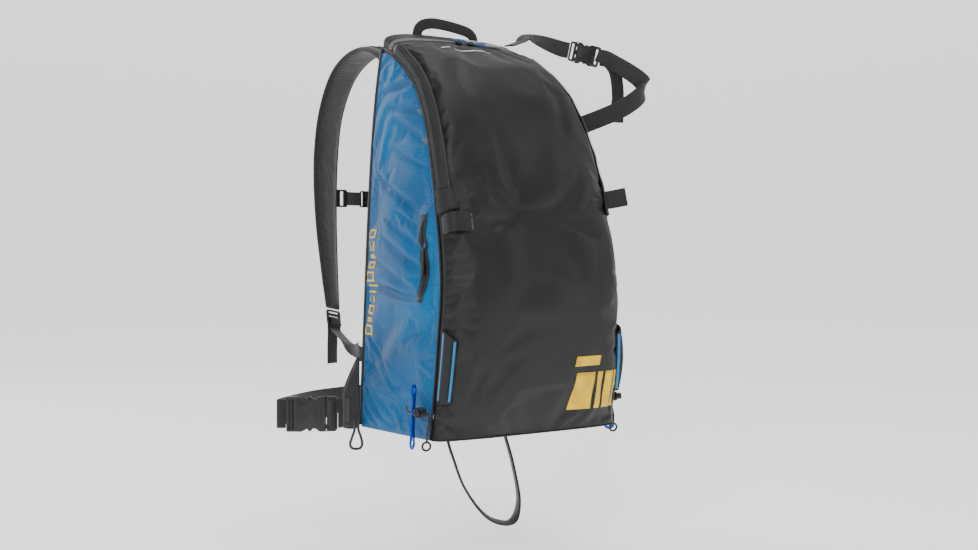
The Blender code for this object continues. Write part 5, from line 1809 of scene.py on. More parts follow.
def wingPad(name, path, sides, node, body):
    line = smoothLine(path, 12)
    heights = smoothLine([(h, 0.0) for h in sides], 12)
    rows = len(line) - 1

    def spot(u, v, face):
        i = round(v * rows)
        way = (line[min(rows, i + 1)] - line[max(0, i - 1)]).normalized()
        off = way.cross(upWay).normalized()
        tall = heights[i].x * 0.985
        edge = min((1 - abs(2 * u - 1)) * tall / 2, min(v, 1 - v) * 0.08)
        full = hipBelt["wingThickness"] / 2 * (0.30 + 0.70 * math.sqrt(min(1.0, edge / 0.010)))
        return line[i] + upWay * tall * (u - 0.5) + off * full * face * 0.94

    pad = padPiece(
        name,
        spot,
        30,
        rows,
        "blackMesh",
        lambda u,
        v,
        f: f == 0 or min(u, 1 - u) < 0.04 or abs(u - 0.5) < 0.02,
        3.0,
        0.0012
    )
    settle(pad, body, "black_spacer_mesh", node)
    bm = bmesh.new()
    for edge in (-0.5, 0.5):
        tubeLine(bm, [p + upWay * h.x * edge * 0.975 for p, h in zip(line, heights)], 0.0018, 8)
    for i in (0, rows):
        tubeLine(bm, [line[i] + upWay * heights[i].x * (k / 10 - 0.5) * 0.97 for k in range(11)], 0.0018, 8)
    bmesh.ops.recalc_face_normals(bm, faces=bm.faces)
    settle(newPiece(name + "Binding", bm, "blackBinding", 60), body, "black_webbing")


def makeHipBelt():
    h = hipBelt
    root = at(-halfWidth(h["up"]) - h["clearance"], 0.0, h["up"])
    drop = Vector((0, 0, -h["drop"]))
    tip = root + beltOutward * h["wingLength"] + drop * 0.8
    tall = [h["wingHeight"], h["wingHeight"] * 0.78, h["webbing"] + 0.010]
    wingPad("hipWingLeft", [root, root.lerp(tip, 0.5), tip], tall, "hip_wing_left", "hip_belt")
    rootRight = flipX(root)
    forward = Vector((0.80, 0.60, 0.0)).normalized()
    tipRight = rootRight + forward * 0.080 + drop
    bend = rootRight + Vector((0.95, 0.30, 0.0)).normalized() * 0.043 + drop * 0.4
    wingPad("hipWingRight", [rootRight, bend, tipRight], tall, "hip_wing_right", "hip_belt")
    meet = root + beltOutward * h["buckleAt"] + drop
    matrix = makeBuckle("hip", h["webbing"], meet, -beltOutward, upWay, ("hip_belt", "hip_buckle_female"))
    maleEnd = matrix @ Vector((0.0156, 0, 0))
    start = root + drop + beltOutward * (h["wingLength"] + 0.0010)
    short = strapPiece(
        "hipWebbingLeft", [start, start.lerp(maleEnd, 0.5), maleEnd], upWay, h["webbing"], 0.0018
    )
    settle(short, "hip_belt", "black_webbing", "hip_webbing_left")
    off = beltOutward.cross(upWay).normalized()
    # the webbing's turn through each half's slot
    for name, x, body in (
        ("hipLoopMale", 0.0087, "hip_belt"), ("hipLoopFemale", -0.0460, "hip_buckle_female")
    ):
        turns = [math.pi * 2 * k / 18 for k in range(19)]
        path = [
            matrix @ Vector(
                (x + 0.0034 * math.cos(t) * (1 if x > 0 else -1), 0, 0.0052 * math.sin(t))
            ) for t in turns[:-4]
        ]
        settle(
            strapPiece(name, path[:: 2], upWay, h["webbing"] * 0.98, 0.0014, "blackWebbing", 5),
            body,
            "black_webbing"
        )
    femaleEnd = matrix @ Vector((-0.0540, 0, 0))
    behind = [
        femaleEnd,
        femaleEnd + Vector((-0.006, 0.012, 0.0)),
        at(-0.190, -0.105, h["up"] - h["drop"]),
        at(-0.120, -0.148, h["up"] - h["drop"]),
        at(-0.020, -0.168, h["up"] - h["drop"]),
        at(0.090, -0.150, h["up"] - h["drop"]),
        at(0.165, -0.112, h["up"] - h["drop"]),
        tipRight + forward * 0.0018,
    ]
    long = strapPiece("hipWebbingRight", behind, upWay, h["webbing"], 0.0018)
    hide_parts("hip_webbing_right")
    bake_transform(long)
    tacks = tackLines(
        tip - beltOutward * 0.006, upWay, beltOutward, 0.030, -off * 0.0062
    ) + tackLines(tip - beltOutward * 0.006, upWay, beltOutward, 0.030, off * 0.0062)
    thread = repeatPiece("beltTacks", tacks, [beltOutward] * len(tacks), "greyThread", 0.0011, 0.0024, 0.0003)
    settle(thread, "hip_belt", "black_webbing")
    # the loop for gear, under the left wing
    face = Vector((-beltOutward.y, beltOutward.x, 0.0)) * (h["wingThickness"] / 2 + 0.0035)
    low = -h["wingHeight"] / 2
    places = (
        (0.0045, 0.012),
        (0.0045, -0.001),
        (0.0080, -0.012),
        (0.0105, -0.021),
        (0.0070, -0.0265),
        (-0.0020, -0.0265),
        (-0.0055, -0.021),
        (-0.0040, -0.012),
        (-0.0005, -0.001),
        (-0.0005, 0.012),
    )
    path = [root + face + beltOutward * a + Vector((0, 0, low + b)) for a, b in places]
    loop, line = tubePiece("gearLoop", path, 0.0018, "elasticCord")
    settle(loop, "hip_belt", "black_elastic_cord", "gear_loop")


makeHipBelt()
print("hip belt made")


def ladderFrame():
    return frameAt(*strapSpot(1.0))


def makeLadderLocks():
    base = ladderFrame()
    webbing, slotAt = 0.020, 0.0155
    half, long, start = webbing / 2 + 0.004, slotAt + 0.0105, slotAt - 0.0115
    outline = roundedOutline([(start, -half), (long, -half), (long, half), (start, half)], 0.003)
    holes = [
        roundedOutline(rectangle(slotAt - 0.008, 0, 0.003, webbing + 0.001), 0.0008),
        roundedOutline(rectangle(slotAt, 0, 0.005, webbing + 0.001), 0.001)
    ]
    toPack = -1 if (base.to_3x3() @ Vector((0, 0, 1))).y > 0 else 1
    level = 0.0015 + 0.0009 + 0.0011

    def spot(along, height):
        return base @ Vector((slotAt + along, 0, toPack * height * level))

    root = at(-halfWidth(0.095) - 0.0016, -0.0010, 0.095)
    path = [
        root,
        root + Vector((0.0004, 0.012, 0.004)),
        root.lerp(spot(0.020, 1.0), 0.5) + Vector((0, 0.004, 0)),
        spot(0.020, 1.0),
        spot(0.010, 1.0),
        spot(0.0045, 1.0),
        spot(0.0012, 0.70),
        spot(-0.0002, 0.25),
        spot(-0.0002, -0.25),
        spot(0.0012, -0.70),
        spot(0.0045, -1.0),
        spot(0.012, -1.05),
        spot(0.022, -1.3) + Vector((0, 0, -0.004)),
        spot(0.026, -1.4) + Vector((0, 0.001, -0.020)),
        spot(0.026, -1.4) + Vector((0, 0.001, -0.038)),
    ]
    across = base.to_3x3() @ Vector((0, 1, 0))
    sides = [upWay] * 2 + [across] * (len(path) - 2)
    flip = Matrix.Diagonal((-1, 1, 1, 1))
    for word in ("left", "right"):
        bm = bmesh.new()
        addPlate(bm, [outline, *holes], 0.003, base, 0.0008, 3)
        for x in (start + 0.0014, long - 0.0022):  # raised grip bars
            addBlock(bm, (0.0022, 2 * half - 0.003, 0.0044), base @ Matrix.Translation((x, 0, 0)), 0.0008)
        if word == "right":
            bmesh.ops.transform(bm, matrix=flip, verts=bm.verts)
            bmesh.ops.reverse_faces(bm, faces=bm.faces)
        settle(
            newPiece(f"ladderLock{word.title()}", bm, "blackAcetal", 45),
            "shell",
            "black_acetal",
            f"ladder_lock_{word}"
        )
        run = path if word == "left" else [flipX(p) for p in path]
        ways = sides if word == "left" else [flipX(p) for p in sides]
        settle(
            strapPiece(f"strapWebbing{word.title()}", run, ways, webbing, 0.0018),
            "shell",
            "black_webbing",
            f"strap_webbing_{word}"
        )


makeLadderLocks()

sternum = {"share": 0.690, "clip": (0.018, 0.026), "webbing": 0.020}


def makeSternum():
    s = sternum
    place, _, across = strapSpot(s["share"])
    left = place + across * (strapPad["width"] / 2 + s["clip"][0] / 2 + 0.002)
    right = flipX(left)
    for word, spot in (("left", left), ("right", right)):
        base = frameAt(spot, (1, 0, 0), (0, 0, 1))
        bm = bmesh.new()
        edge = roundedOutline(rectangle(0, 0, s["clip"][0], s["clip"][1]), 0.003)
        addPlate(bm, [edge, roundedOutline(rectangle(0, 0, 0.006, 0.021), 0.001)], 0.004, base, 0.0009, 3)
        settle(
            newPiece(f"sternumClip{word.title()}", bm, "blackAcetal", 45),
            "sternum_strap",
            "black_acetal",
            f"sternum_clip_{word}"
        )
    span = right.x - left.x
    meet = left + Vector((1, 0, 0)) * span * 0.30 + Vector((0, 0.006, 0))
    matrix = makeBuckle(
        "sternum", s["webbing"], meet, (-1, 0, 0), upWay, ("sternum_strap", "sternum_buckle_female")
    )
    size = s["webbing"] / 0.038
    maleEnd = matrix @ Vector((0.0150 * size + 0.0006, 0, 0))
    start = left + Vector((s["clip"][0] / 2 + 0.0008, 0, 0))
    short = [start, start.lerp(maleEnd, 0.5) + Vector((0, 0.001, 0)), maleEnd]
    settle(
        strapPiece("sternumWebbingLeft", short, upWay, s["webbing"], 0.0018),
        "sternum_strap",
        "black_webbing",
        "sternum_webbing_left"
    )
    femaleEnd = matrix @ Vector((-0.053 * size - 0.0008, 0, 0))
    finishAt = right - Vector((s["clip"][0] / 2 + 0.0008, 0, 0))
    long = [femaleEnd, femaleEnd.lerp(finishAt, 0.5) + Vector((0, 0.010, -0.006)), finishAt]
    piece = strapPiece("sternumWebbingRight", long, upWay, s["webbing"], 0.0018)
    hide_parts("sternum_webbing_right")
    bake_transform(piece)


makeSternum()
print("sternum strap made")

# ---- haul loop, ski straps, axe holders


def webbingTacks(name, rows, body, finish="greyThread"):
    thread = repeatPiece(name, [r for r, _ in rows], [w for _, w in rows], finish, 0.0011, 0.0024, 0.0003)
    settle(thread, body, "black_webbing")


haul = {"width": 0.015, "thickness": 0.0018}


def makeHaulLoop():
    behind = 0.008 + 0.0005 + 0.0018
    places = (
        (-0.050, -0.023),
        (-0.050, -0.004),
        (-0.050, 0.015),
        (-0.045, 0.035),
        (-0.023, 0.043),
        (0.018, 0.040),
        (0.043, 0.033),
        (0.048, 0.015),
        (0.048, -0.004),
        (0.048, -0.023)
    )
    path = [at(x, -behind, pack["height"] + rise) for x, rise in places]
    sides = []
    for i in range(len(path)):
        way = path[min(i + 1, len(path) - 1)] - path[max(i - 1, 0)]
        sides.append(Vector((-way.z, 0.0, way.x)))
    settle(
        strapPiece("haulLoop", path, sides, haul["width"], haul["thickness"]),
        "shell",
        "black_webbing",
        "haul_loop"
    )
    rows = []
    for x in (-0.050, 0.048):
        for rise in (-0.020, -0.016, -0.010):
            rows.append(
                (
                    [
                        at(
                            x + 0.012 * (i / 10 - 0.5), -behind - 0.0011, pack["height"] + rise
                        ) for i in range(11)
                    ],
                    upWay
                )
            )
    webbingTacks("haulTacks", rows, "shell")


makeHaulLoop()
ski = {"webbing": 0.025, "thickness": 0.0018, "tail": 0.085}


def makeSkiStraps():
    webbing = ski["webbing"]
    size = webbing / 0.038
    meet = at(0.188, 0.049, pack["height"] + 0.015)
    way = Vector((0.80, -0.52, -0.22)).normalized()
    matrix = makeBuckle("ski", webbing, meet, -way, (0.1, 0.25, 1.0), ("shell", "ski_buckle_female"))
    across = matrix.to_3x3() @ Vector((0, 1, 0))
    maleEnd = matrix @ Vector((0.0150 * size + 0.0008, 0, 0))
    shoulder = wrapped(0.5 * (zipShare + 1), 0.72, 0.0022)
    rear = [
        shoulder + Vector((-0.016, 0.0, 0.0085)),
        shoulder + Vector((0.004, 0.0, 0.0160)),
        shoulder + Vector((0.022, 0.002, 0.0240)),
        maleEnd - way * 0.014,
        maleEnd,
    ]
    flat = Vector((0.0, 1.0, 0.10))
    settle(
        strapPiece(
            "skiStrapRear",
            rear,
            [flat, flat, flat.lerp(across, 0.4), across, across],
            webbing,
            ski["thickness"]
        ),
        "shell",
        "black_webbing",
        "ski_strap_rear"
    )
    femaleEnd = matrix @ Vector((-0.053 * size - 0.0008, 0, 0))
    side = halfWidth(0.40) + pack["sideBulge"]
    front = [
        at(side + 0.0015, 0.060, 0.400),
        at(side + 0.0035, 0.078, 0.403),
        at(side + 0.020, 0.100, 0.410),
        at(0.212, 0.132, 0.440),
        at(0.250, 0.126, 0.474),
        femaleEnd + way * 0.014,
        femaleEnd,
    ]
    sides = [upWay] * 3 + [upWay.lerp(across, 0.5), across, across, across]
    piece = strapPiece("skiStrapFront", front, sides, webbing, ski["thickness"])
    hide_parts("ski_strap_front")
    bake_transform(piece)
    # the strap's free end, hanging from the buckle through a keeper
    drop = matrix @ Vector((-0.046 * size, 0, -0.0050))
    falls = ((0.0, 0.0), (0.012, -0.003), (0.026, -0.014), (0.031, -0.036), (0.032, -0.062), (0.031, -0.090))
    tail = [drop + way * along + Vector((0, 0, fall)) for along, fall in falls]
    facing = [across, across, Vector((0.5, -0.4, 0.3)), *[Vector((0.86, -0.51, 0.0))] * 3]
    settle(
        strapPiece("skiStrapTail", tail, facing, webbing * 0.72, 0.0015),
        "ski_buckle_female",
        "black_webbing"
    )
    hem = tail[-2] + Vector((0, 0, -0.004))
    keeper = [hem + Vector((0, 0, 0.008)), hem, hem + Vector((0, 0, -0.012))]
    settle(
        strapPiece("skiStrapKeeper", keeper, facing[-1], webbing * 0.80, 0.0048, "blackPatch"),
        "ski_buckle_female",
        "black_webbing"
    )
    low = [
        at(-0.108, 0.150, -0.0060),
        at(-0.112, 0.166, -0.022),
        at(-0.104, 0.182, -0.062),
        at(-0.080, 0.196, -0.098),
        at(-0.044, 0.196, -0.108),
        at(-0.020, 0.182, -0.086),
        at(-0.012, 0.160, -0.044),
        at(-0.012, 0.142, -0.0060),
    ]
    settle(
        strapPiece("skiLoopLower", low, Vector((0.50, 0.87, 0.0)), webbing, 0.003),
        "shell",
        "black_webbing",
        "ski_loop_lower"
    )


makeSkiStraps()
axe = {"up": 0.262, "upRight": 0.298, "width": 0.025, "thickness": 0.002}


def makeAxeHolders():
    share = shareWhere(lambda out, up: up >= axe["up"])
    up = (wrapped(share + 0.02, -0.7) - wrapped(share - 0.02, -0.7)).normalized()
    path = [
        wrapped(share, u, lift) for u,
        lift in zip((-0.93, -0.82, -0.70, -0.58, -0.47), (0.0018, 0.008, 0.011, 0.008, 0.0018))
    ]
    settle(
        strapPiece("axeHolderLeft", path, up, axe["width"], axe["thickness"], "blackPatch"),
        "shell",
        "black_webbing",
        "axe_holder_left"
    )
    rows = []
    for u in (-0.935, -0.925, -0.475, -0.465):
        spot = wrapped(share, u, 0.0032)
        rows.append(
            (
                [spot + up * 0.020 * (i / 12 - 0.5) for i in range(13)],
                (wrapped(share, u + 0.02) - wrapped(share, u - 0.02)).normalized()
            )
        )
    webbingTacks("axeHolderTacks", rows, "shell")
    share = shareWhere(lambda out, up: up >= axe["upRight"])
    up = (wrapped(share + 0.02, 0.85) - wrapped(share - 0.02, 0.85)).normalized()
    path = [
        wrapped(share, 0.80, 0.0018),
        wrapped(share, 0.88, 0.0028),
        wrapped(share, 0.92, 0.0100),
        wrapped(share, 0.92, 0.0240)
    ]
    settle(
        strapPiece("axeHolderRight", path, up, axe["width"], axe["thickness"], "blackPatch"),
        "shell",
        "black_webbing",
        "axe_holder_right"
    )
    # the loops at the lower corners that hold skis upright: a patch with blue tape down its edges
    for side in (-1, 1):
        word = "Left" if side < 0 else "Right"
        low, high = 0.083, 0.240

        def surface(u, v):
            share = low + (high - low - 0.022 * u) * v
            a = side * (0.985 - 0.325 * u)
            bulge = 0.0050 * math.sin(
                math.pi * min(1, max(0, (u - 0.08) / 0.84))
            ) * (0.4 + 0.6 * math.sin(math.pi * v))
            return wrapped(share, a, 0.0022 + bulge)

        patch = clothSheet(f"skiLoopPatch{word}", surface, 24, 40, ("blackPatch", "blackPatch"), (0.05, 0.08))
        if side > 0:
            patch.data.flip_normals()
        thicken(patch, 0.0013, -1.0)
        settle(patch, "shell", "black_coated_cloth")
        for k, u in enumerate((0.10, 0.86)):
            path = [surface(u, 0.04 + 0.92 * i / 12) + Vector((0, -0.0009, 0)) for i in range(13)]
            sideWay = [(surface(min(1, u + 0.05), 0.5) - surface(u - 0.05, 0.5)).normalized()] * 13
            settle(
                strapPiece(f"skiLoopTape{word}{'AB'[k]}", path, sideWay, 0.0042, 0.0011, "blueTape", 3),
                "shell",
                "blue_ripstop"
            )


makeAxeHolders()
print("straps made")

# ---- toggles, cord locks and their cords

toggle = {"length": 0.081, "pivot": 0.006, "thickness": 0.0025, "eye": 0.0078, "waist": 0.0052}
lock = {"ahead": 0.0105, "radius": 0.0065, "length": 0.017, "cordAt": -0.0040, "plunger": 0.0045}
flipAll = Matrix.Diagonal((-1, 1, 1, 1))


def mirrorMesh(bm):
    bmesh.ops.transform(bm, matrix=flipAll, verts=bm.verts)
    bmesh.ops.reverse_faces(bm, faces=bm.faces)


def cornerFrame():
    return frameAt(at(halfWidth(0.034) + 0.0155, 0.150, 0.034), (0.06, -0.04, -1.0), (0.809, -0.588, 0.0))


def makeToggles():
    t = toggle
    base = cornerFrame()
    low, high = t["length"] / 2 + t["pivot"], -t["length"] / 2 + t["pivot"]
    eye, waist = t["eye"], t["waist"]
    arc = [(high + eye - eye * math.sin(a), eye * math.cos(a)) for a in [math.pi * k / 12 for k in range(13)]]
    other = [
        (low - eye + eye * math.sin(a), -eye * math.cos(a)) for a in [math.pi * k / 12 for k in range(13)]
    ]
    outline = arc + [
        (high + 3 * eye, -waist), (low - 3 * eye, -waist)
    ] + other + [(low - 3 * eye, waist), (high + 3 * eye, waist)]
    outline = [Vector(p) for p in outline]
    holes = [
        circleOutline(0.0044, high + eye * 1.05),
        circleOutline(0.0024),
        circleOutline(0.0044, low - eye * 1.05)
    ]
    cordPath = [
        (-0.006, -0.0115, -0.014),
        (-0.002, -0.0060, -0.011),
        (0, -0.0010, -0.0060),
        (0, 0, 0.001),
        (0, 0, lock["ahead"] - 0.005),
        (0, 0, lock["ahead"] + 0.006),
        (0.003, 0.001, lock["ahead"] + 0.0105),
        (0.012, 0.003, lock["ahead"] + 0.0120),
        (0.024, 0.005, lock["ahead"] + 0.0110),
        (0.036, 0.004, lock["ahead"] + 0.0100),
    ]
    middle = base @ Vector((0, -lock["cordAt"], lock["ahead"]))
    turn = base.to_3x3()
    barrel = frameAt(middle, turn @ Vector((0, 0, 1)), turn @ Vector((1, 0, 0)))
    sign = 1 if (barrel.to_3x3() @ Vector((0, 0, 1))).dot(turn @ Vector((0, 1, 0))) > 0 else -1
    barrel = barrel @ Matrix.Diagonal((1, 1, sign, 1)) if sign < 0 else barrel
    r, half = lock["radius"], lock["length"] / 2
    ribs = []
    for i in range(6):
        z = -half + 0.0030 + i * 0.0019
        ribs += [(r - 0.0006, z), (r, z + 0.0004), (r, z + 0.0010), (r - 0.0006, z + 0.0014)]
    body = [
        (0, -half),
        (r - 0.0016, -half),
        (r - 0.0004, -half + 0.0012),
        *ribs,
        (r, half - 0.0016),
        (r - 0.0005, half - 0.0004),
        (r - 0.0012, half),
        (lock["plunger"] + 0.0004, half),
        (lock["plunger"] + 0.0004, half - 0.006),
        (0, half - 0.006)
    ]
    knob = [
        (0, -0.0047), (0.0044, -0.0047), (0.0044, 0.0034), (0.0036, 0.0044), (0.0022, 0.0047), (0, 0.0047)
    ]
    for word in ("right", "left"):
        flip = word == "left"
        bm = bmesh.new()
        addPlate(bm, [outline, *holes], t["thickness"], base, 0.0007, 3)
        if flip:
            mirrorMesh(bm)
        settle(
            newPiece(f"axeToggle{word.title()}", bm, "blueAnodised", 40),
            f"axe_toggle_{word}",
            "blue_anodised_aluminium",
            f"axe_toggle_{word}"
        )
        bm = bmesh.new()
        addTurned(bm, body, barrel, 28)
        if flip:
            mirrorMesh(bm)
        bmesh.ops.recalc_face_normals(bm, faces=bm.faces)
        settle(
            newPiece(f"cordLock{word.title()}", bm, "blackAcetal", 35),
            "shell",
            "black_acetal",
            f"cord_lock_{word}"
        )
        bm = bmesh.new()
        addTurned(bm, knob, barrel @ Matrix.Translation((0, 0, half + 0.0016)), 24)
        bmesh.ops.recalc_face_normals(bm, faces=bm.faces)
        if flip:
            mirrorMesh(bm)
        settle(
            newPiece(f"lockPlunger{word.title()}", bm, "blackAcetal", 35),
            f"lock_plunger_{word}",
            "black_acetal",
            f"lock_plunger_{word}"
        )
        path = [base @ Vector(p) for p in cordPath]
        path = [flipX(p) for p in path] if flip else path
        cord, line = tubePiece(f"axeCord{word.title()}", path, 0.0014, "elasticCord")
        # the cord's end is tied to a small moulded ring
        bm = bmesh.new()
        end, way = line[-1], (line[-1] - line[-3]).normalized()
        side = way.cross(Vector((0.3, 1, 0.1))).normalized()
        ring = [
            end + way * 0.0052 + (way * math.cos(a) + side * math.sin(a)) * 0.0052 for a in [
                2 * math.pi * k / 28 for k in range(28)
            ]
        ]
        normal = way.cross(side)
        rings = []
        for k, p in enumerate(ring):
            out = (p - end - way * 0.0052).normalized()
            rings.append(
                [
                    bm.verts.new(
                        p + out * 0.0014 * math.cos(b) + normal * 0.0014 * math.sin(b)
                    ) for b in [2 * math.pi * m / 10 for m in range(10)]
                ]
            )
        for k in range(28):
            for m in range(10):
                bm.faces.new(
                    (
                        rings[k][m],
                        rings[k][(m + 1) % 10],
                        rings[(k + 1) % 28][(m + 1) % 10],
                        rings[(k + 1) % 28][m]
                    )
                )
        bmesh.ops.recalc_face_normals(bm, faces=bm.faces)
        ringPiece = newPiece(f"cordRing{word.title()}", bm, "blackAcetal", 60)
        settle(ringPiece, "shell", "black_acetal")
        settle(cord, "shell", "black_elastic_cord", f"axe_cord_{word}")


makeToggles()
print("toggles made")

# ---- the airbag system

airbag = {"size": (0.196, 0.046, 0.105), "pleats": 9, "pleatDepth": 0.0030}
heights = {"airbag": pack["height"] - 0.164}
heights["inflator"] = heights["airbag"] - 0.032
inflator = {"x": 0.010, "out": 0.040, "radius": 0.018, "length": 0.080}
bottle = {"x": -0.092, "out": 0.036, "up": 0.022, "radius": 0.025, "length": 0.205}


def makeAirbag():
    wide, deep, tall = airbag["size"]
    middle = at(0.0, 0.0120 + deep / 2, heights["airbag"] + tall / 2)

    def spot(u, v, face):
        a, c = 2 * u - 1, 2 * v - 1
        edge = min(1, (1 - abs(a)) / 0.10) * min(1, (1 - abs(c)) / 0.14)
        pleat = airbag["pleatDepth"] * abs(
            math.sin(airbag["pleats"] * math.pi * v + 0.4 * math.sin(5 * a))
        ) * edge
        full = (deep / 2 - 0.0032) * math.sqrt(max(0, edge)) + pleat * 0.9
        x = a * wide / 2 * 0.985 * (1 - 0.02 * c * c)
        return middle + Vector((x, full * face if face else 0.0, c * tall / 2 * 0.985))

    bag = padPiece("foldedAirbag", spot, 60, 72, "redNylon", lambda u, v, f: True, 0.0, 0.001, 2)
    settle(bag, "shell", "red_airbag_nylon", "airbag_folded")
    b = bottle
    neck = 0.009
    arc = [
        (
            neck + (b["radius"] - neck) * math.sin(a),
            b["length"] - b["radius"] * 0.8 + b["radius"] * 0.8 * math.cos(a)
        ) for a in [math.pi / 2 * i / 14 for i in range(15)]
    ]
    profile = [
        (0, b["length"] + 0.006),
        (neck, b["length"] + 0.006),
        *arc,
        (b["radius"], 0.006),
        (b["radius"] - 0.0015, 0.002),
        (b["radius"] - 0.005, 0.0),
        (0, 0)
    ]
    bm = bmesh.new()
    addTurned(bm, profile[::-1], Matrix.Translation(at(b["x"], b["out"], b["up"])), 48)
    settle(newPiece("gasBottle", bm, "greySteel", 35), "shell", "grey_steel", "gas_cylinder")
    top = b["up"] + b["length"] + 0.0065
    bm = bmesh.new()
    valve = [
        (0, 0),
        (0.011, 0),
        (0.013, 0.002),
        (0.013, 0.009),
        (0.0115, 0.0100),
        (0.0115, 0.0112),
        (0.013, 0.0122),
        (0.013, 0.0215),
        (0.0118, 0.024),
        (0, 0.024)
    ]
    addTurned(bm, valve, Matrix.Translation(at(b["x"], b["out"], top)), 40)
    settle(newPiece("bottleValve", bm, "bareAluminium", 35), "shell", "bare_aluminium", "cylinder_valve")
    i = inflator
    lying = Matrix.Translation(
        at(i["x"], i["out"], heights["inflator"])
    ) @ Matrix.Rotation(math.pi / 2, 4, "Y")
    half, r = i["length"] / 2, i["radius"]
    profile = [(0, -half), (r - 0.004, -half), (r - 0.002, -half + 0.002), (r - 0.002, -half + 0.010)]
    for k in range(9):
        z = -half + 0.012 + k * 0.0062
        profile += [(r, z), (r, z + 0.0036), (r - 0.0022, z + 0.0042), (r - 0.0022, z + 0.0056)]
    profile += [(r, half - 0.010), (r, half - 0.002), (r - 0.002, half), (0, half)]
    bm = bmesh.new()
    addTurned(bm, profile, lying, 44)
    settle(newPiece("inflatorBody", bm, "bareAluminium", 35), "shell", "bare_aluminium", "inflator_body")
    valveTop = top + 0.024
    hose = [
        at(b["x"], b["out"], valveTop + 0.0008),
        at(b["x"], b["out"], valveTop + 0.020),
        at(b["x"] + 0.010, b["out"], heights["inflator"] - 0.010),
        at(b["x"] + 0.030, i["out"], heights["inflator"]),
        at(i["x"] - half - 0.0008, i["out"], heights["inflator"]),
    ]
    piece, line = tubePiece("inflatorHose", hose, 0.0045, "blackCable", 10, 16)
    settle(piece, "shell", "black_acetal", "inflator_hose")
    endX = i["x"] + half
    lever = frameAt(at(endX + 0.0025, i["out"], heights["inflator"]), (0, -1, 0), (0, 0, 1))
    outline = [
        (-0.004, -0.005),
        (0.004, -0.005),
        (0.005, 0.004),
        (0.0035, 0.024),
        (-0.0035, 0.024),
        (-0.005, 0.004)
    ]
    bm = bmesh.new()
    addPlate(
        bm, [roundedOutline(outline, 0.0012), circleOutline(0.0016, 0, 0.019, 16)], 0.003, lever, 0.0006, 2
    )
    settle(
        newPiece("firingLever", bm, "blueAnodised", 40),
        "firing_lever",
        "blue_anodised_aluminium",
        "firing_lever"
    )


makeAirbag()
dock = {"share": 0.53, "radius": 0.0075, "length": 0.028}


def dockFrame():
    place, along, across = strapSpot(dock["share"])
    place, along, across = flipX(place), flipX(along), flipX(across)
    face = along.cross(across).normalized()
    if face.y < 0:
        face = -face
    made = Matrix((face, along.cross(face).normalized(), along)).transposed().to_4x4()
    made.translation = place + face * (strapPad["thickness"] / 2 + dock["radius"] + 0.0010)
    return made


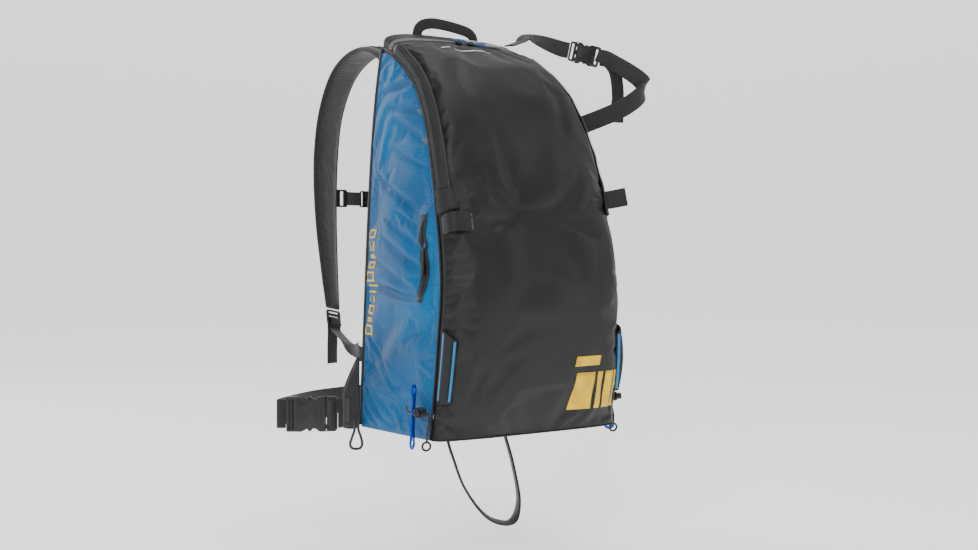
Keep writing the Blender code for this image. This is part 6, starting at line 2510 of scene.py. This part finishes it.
def makeTrigger():
    base = dockFrame()
    half, r = dock["length"] / 2, dock["radius"]
    bm = bmesh.new()
    profile = [
        (0.0049, -half),
        (r - 0.001, -half),
        (r, -half + 0.001),
        (r, -half + 0.006),
        (r - 0.0008, -half + 0.007),
        (r - 0.0008, half - 0.007),
        (r, half - 0.006),
        (r, half - 0.001),
        (r - 0.001, half),
        (0.0049, half)
    ]
    rings = []
    for radius, z in profile:
        rings.append(
            [
                bm.verts.new(
                    base @ Vector((radius * math.cos(a), radius * math.sin(a), z))
                ) for a in [2 * math.pi * k / 32 for k in range(32)]
            ]
        )
    rings.append(rings[0])
    for lower, upper in zip(rings, rings[1:]):
        for k in range(32):
            bm.faces.new((lower[k], lower[(k + 1) % 32], upper[(k + 1) % 32], upper[k]))
    bmesh.ops.recalc_face_normals(bm, faces=bm.faces)
    settle(newPiece("handleDock", bm, "blackAcetal", 35), "shell", "black_acetal", "trigger_dock")
    bm = bmesh.new()
    stem = [(0, -0.006), (0.0038, -0.006), (0.0045, -0.005), (0.0045, 0.020), (0.0038, 0.026), (0, 0.026)]
    addTurned(bm, stem, base, 24)
    grip = []
    for k in range(40):
        a = 2 * math.pi * k / 40
        x, z = math.copysign(
            abs(math.cos(a)) ** 0.45, math.cos(a)
        ) * 0.0198, math.copysign(abs(math.sin(a)) ** 0.7, math.sin(a))
        z = z * (0.0068 - 0.0012 * math.cos(math.pi * x / 0.02) * (1 if z < 0 else 0))
        grip.append((x, 0.0225 + z))
    lie = base @ Matrix(((0, 0, 1, 0), (1, 0, 0, 0), (0, 1, 0, 0), (0, 0, 0, 1)))
    addPlate(bm, [grip], 0.0106, lie, 0.0030, 5)
    for k in range(7):  # grip ribs on the front face
        place = base @ Matrix.Translation((0.0050, -0.0132 + k * 0.0044, 0.0225))
        addBlock(bm, (0.0014, 0.0014, 0.0080), place, 0.0005, 2)
    bmesh.ops.recalc_face_normals(bm, faces=bm.faces)
    settle(
        newPiece("triggerHandle", bm, "orangeNylon", 45),
        "trigger_handle",
        "orange_handle",
        "trigger_handle"
    )
    route = [base @ Vector((0, 0, -0.0148)), base @ Vector((0, 0, -0.022))]
    clear = strapPad["thickness"] / 2 + 0.0025 + 0.0025
    outer = Vector((0.0, 1.0, 0.0))
    for share in (0.44, 0.38, 0.32, 0.26, 0.21):
        place, along, across = strapSpot(share)
        face = along.cross(across).normalized()
        outer = face if face.dot(outer) > 0 else -face
        route.append(flipX(place + outer * clear))
    holeUp = pack["height"] - 0.039
    holeX = halfWidth(holeUp) - 0.0164
    down = heights["inflator"] + 0.019
    lever = inflator["x"] + inflator["length"] / 2
    route += [
        at(holeX - 0.006, -0.048, holeUp + 0.049),
        at(holeX + 0.006, -0.036, holeUp + 0.031),
        at(holeX + 0.004, -0.020, holeUp + 0.012),
        at(holeX, -0.009, holeUp + 0.001),
        at(holeX, 0.004, holeUp - 0.002),
        at(holeX + 0.003, 0.012, holeUp - 0.012),
        at(holeX + 0.006, 0.022, holeUp - 0.034),
        at(holeX + 0.005, 0.034, heights["airbag"] + 0.020),
        at(lever + 0.045, inflator["out"] - 0.004, down + 0.001),
        at(lever + 0.026, inflator["out"], down),
        at(lever + 0.018, inflator["out"], down),
    ]
    cable, line = tubePiece("triggerCable", route, 0.0025, "blackCable", 8, 12)
    settle(cable, "shell", "black_elastic_cord", "trigger_cable")
    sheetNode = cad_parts["frame_sheet"]
    sheetNode.data.materials.clear()
    sheetNode.data.materials.append(finishes["whitePolyethylene"])


makeTrigger()
print("airbag system made")

# ---- floor and close


def makeFloor():
    low, back, radius = -0.245, 6.0, 2.0
    profile = [(-7.0, low), (back - radius, low)]
    profile += [
        (back - radius + radius * math.sin(a), low + radius - radius * math.cos(a))
        for a in (math.pi / 2 * i / 12 for i in range(1, 13))
    ]
    profile.append((back, 7.0))
    bm = bmesh.new()
    turn = math.radians(camera["azimuth"])
    rows = [
        [
            bm.verts.new(Matrix.Rotation(turn, 4, "Z") @ Vector((x, y, z)))
            for x in (-9.0, 9.0)
        ]
        for y, z in profile
    ]
    for (a, b), (c, d) in zip(rows, rows[1:]):
        bm.faces.new((a, b, d, c))
    made, _, shader = startMaterial("paleBackdrop", "#F8F8F8", 0.9)
    shader.inputs["Emission Color"].default_value = (1.0, 1.0, 1.0, 1.0)
    shader.inputs["Emission Strength"].default_value = 0.75
    finishes["backdrop"] = made
    floor = newPiece("floor", bm, "backdrop", 60)


makeFloor()
print("done")
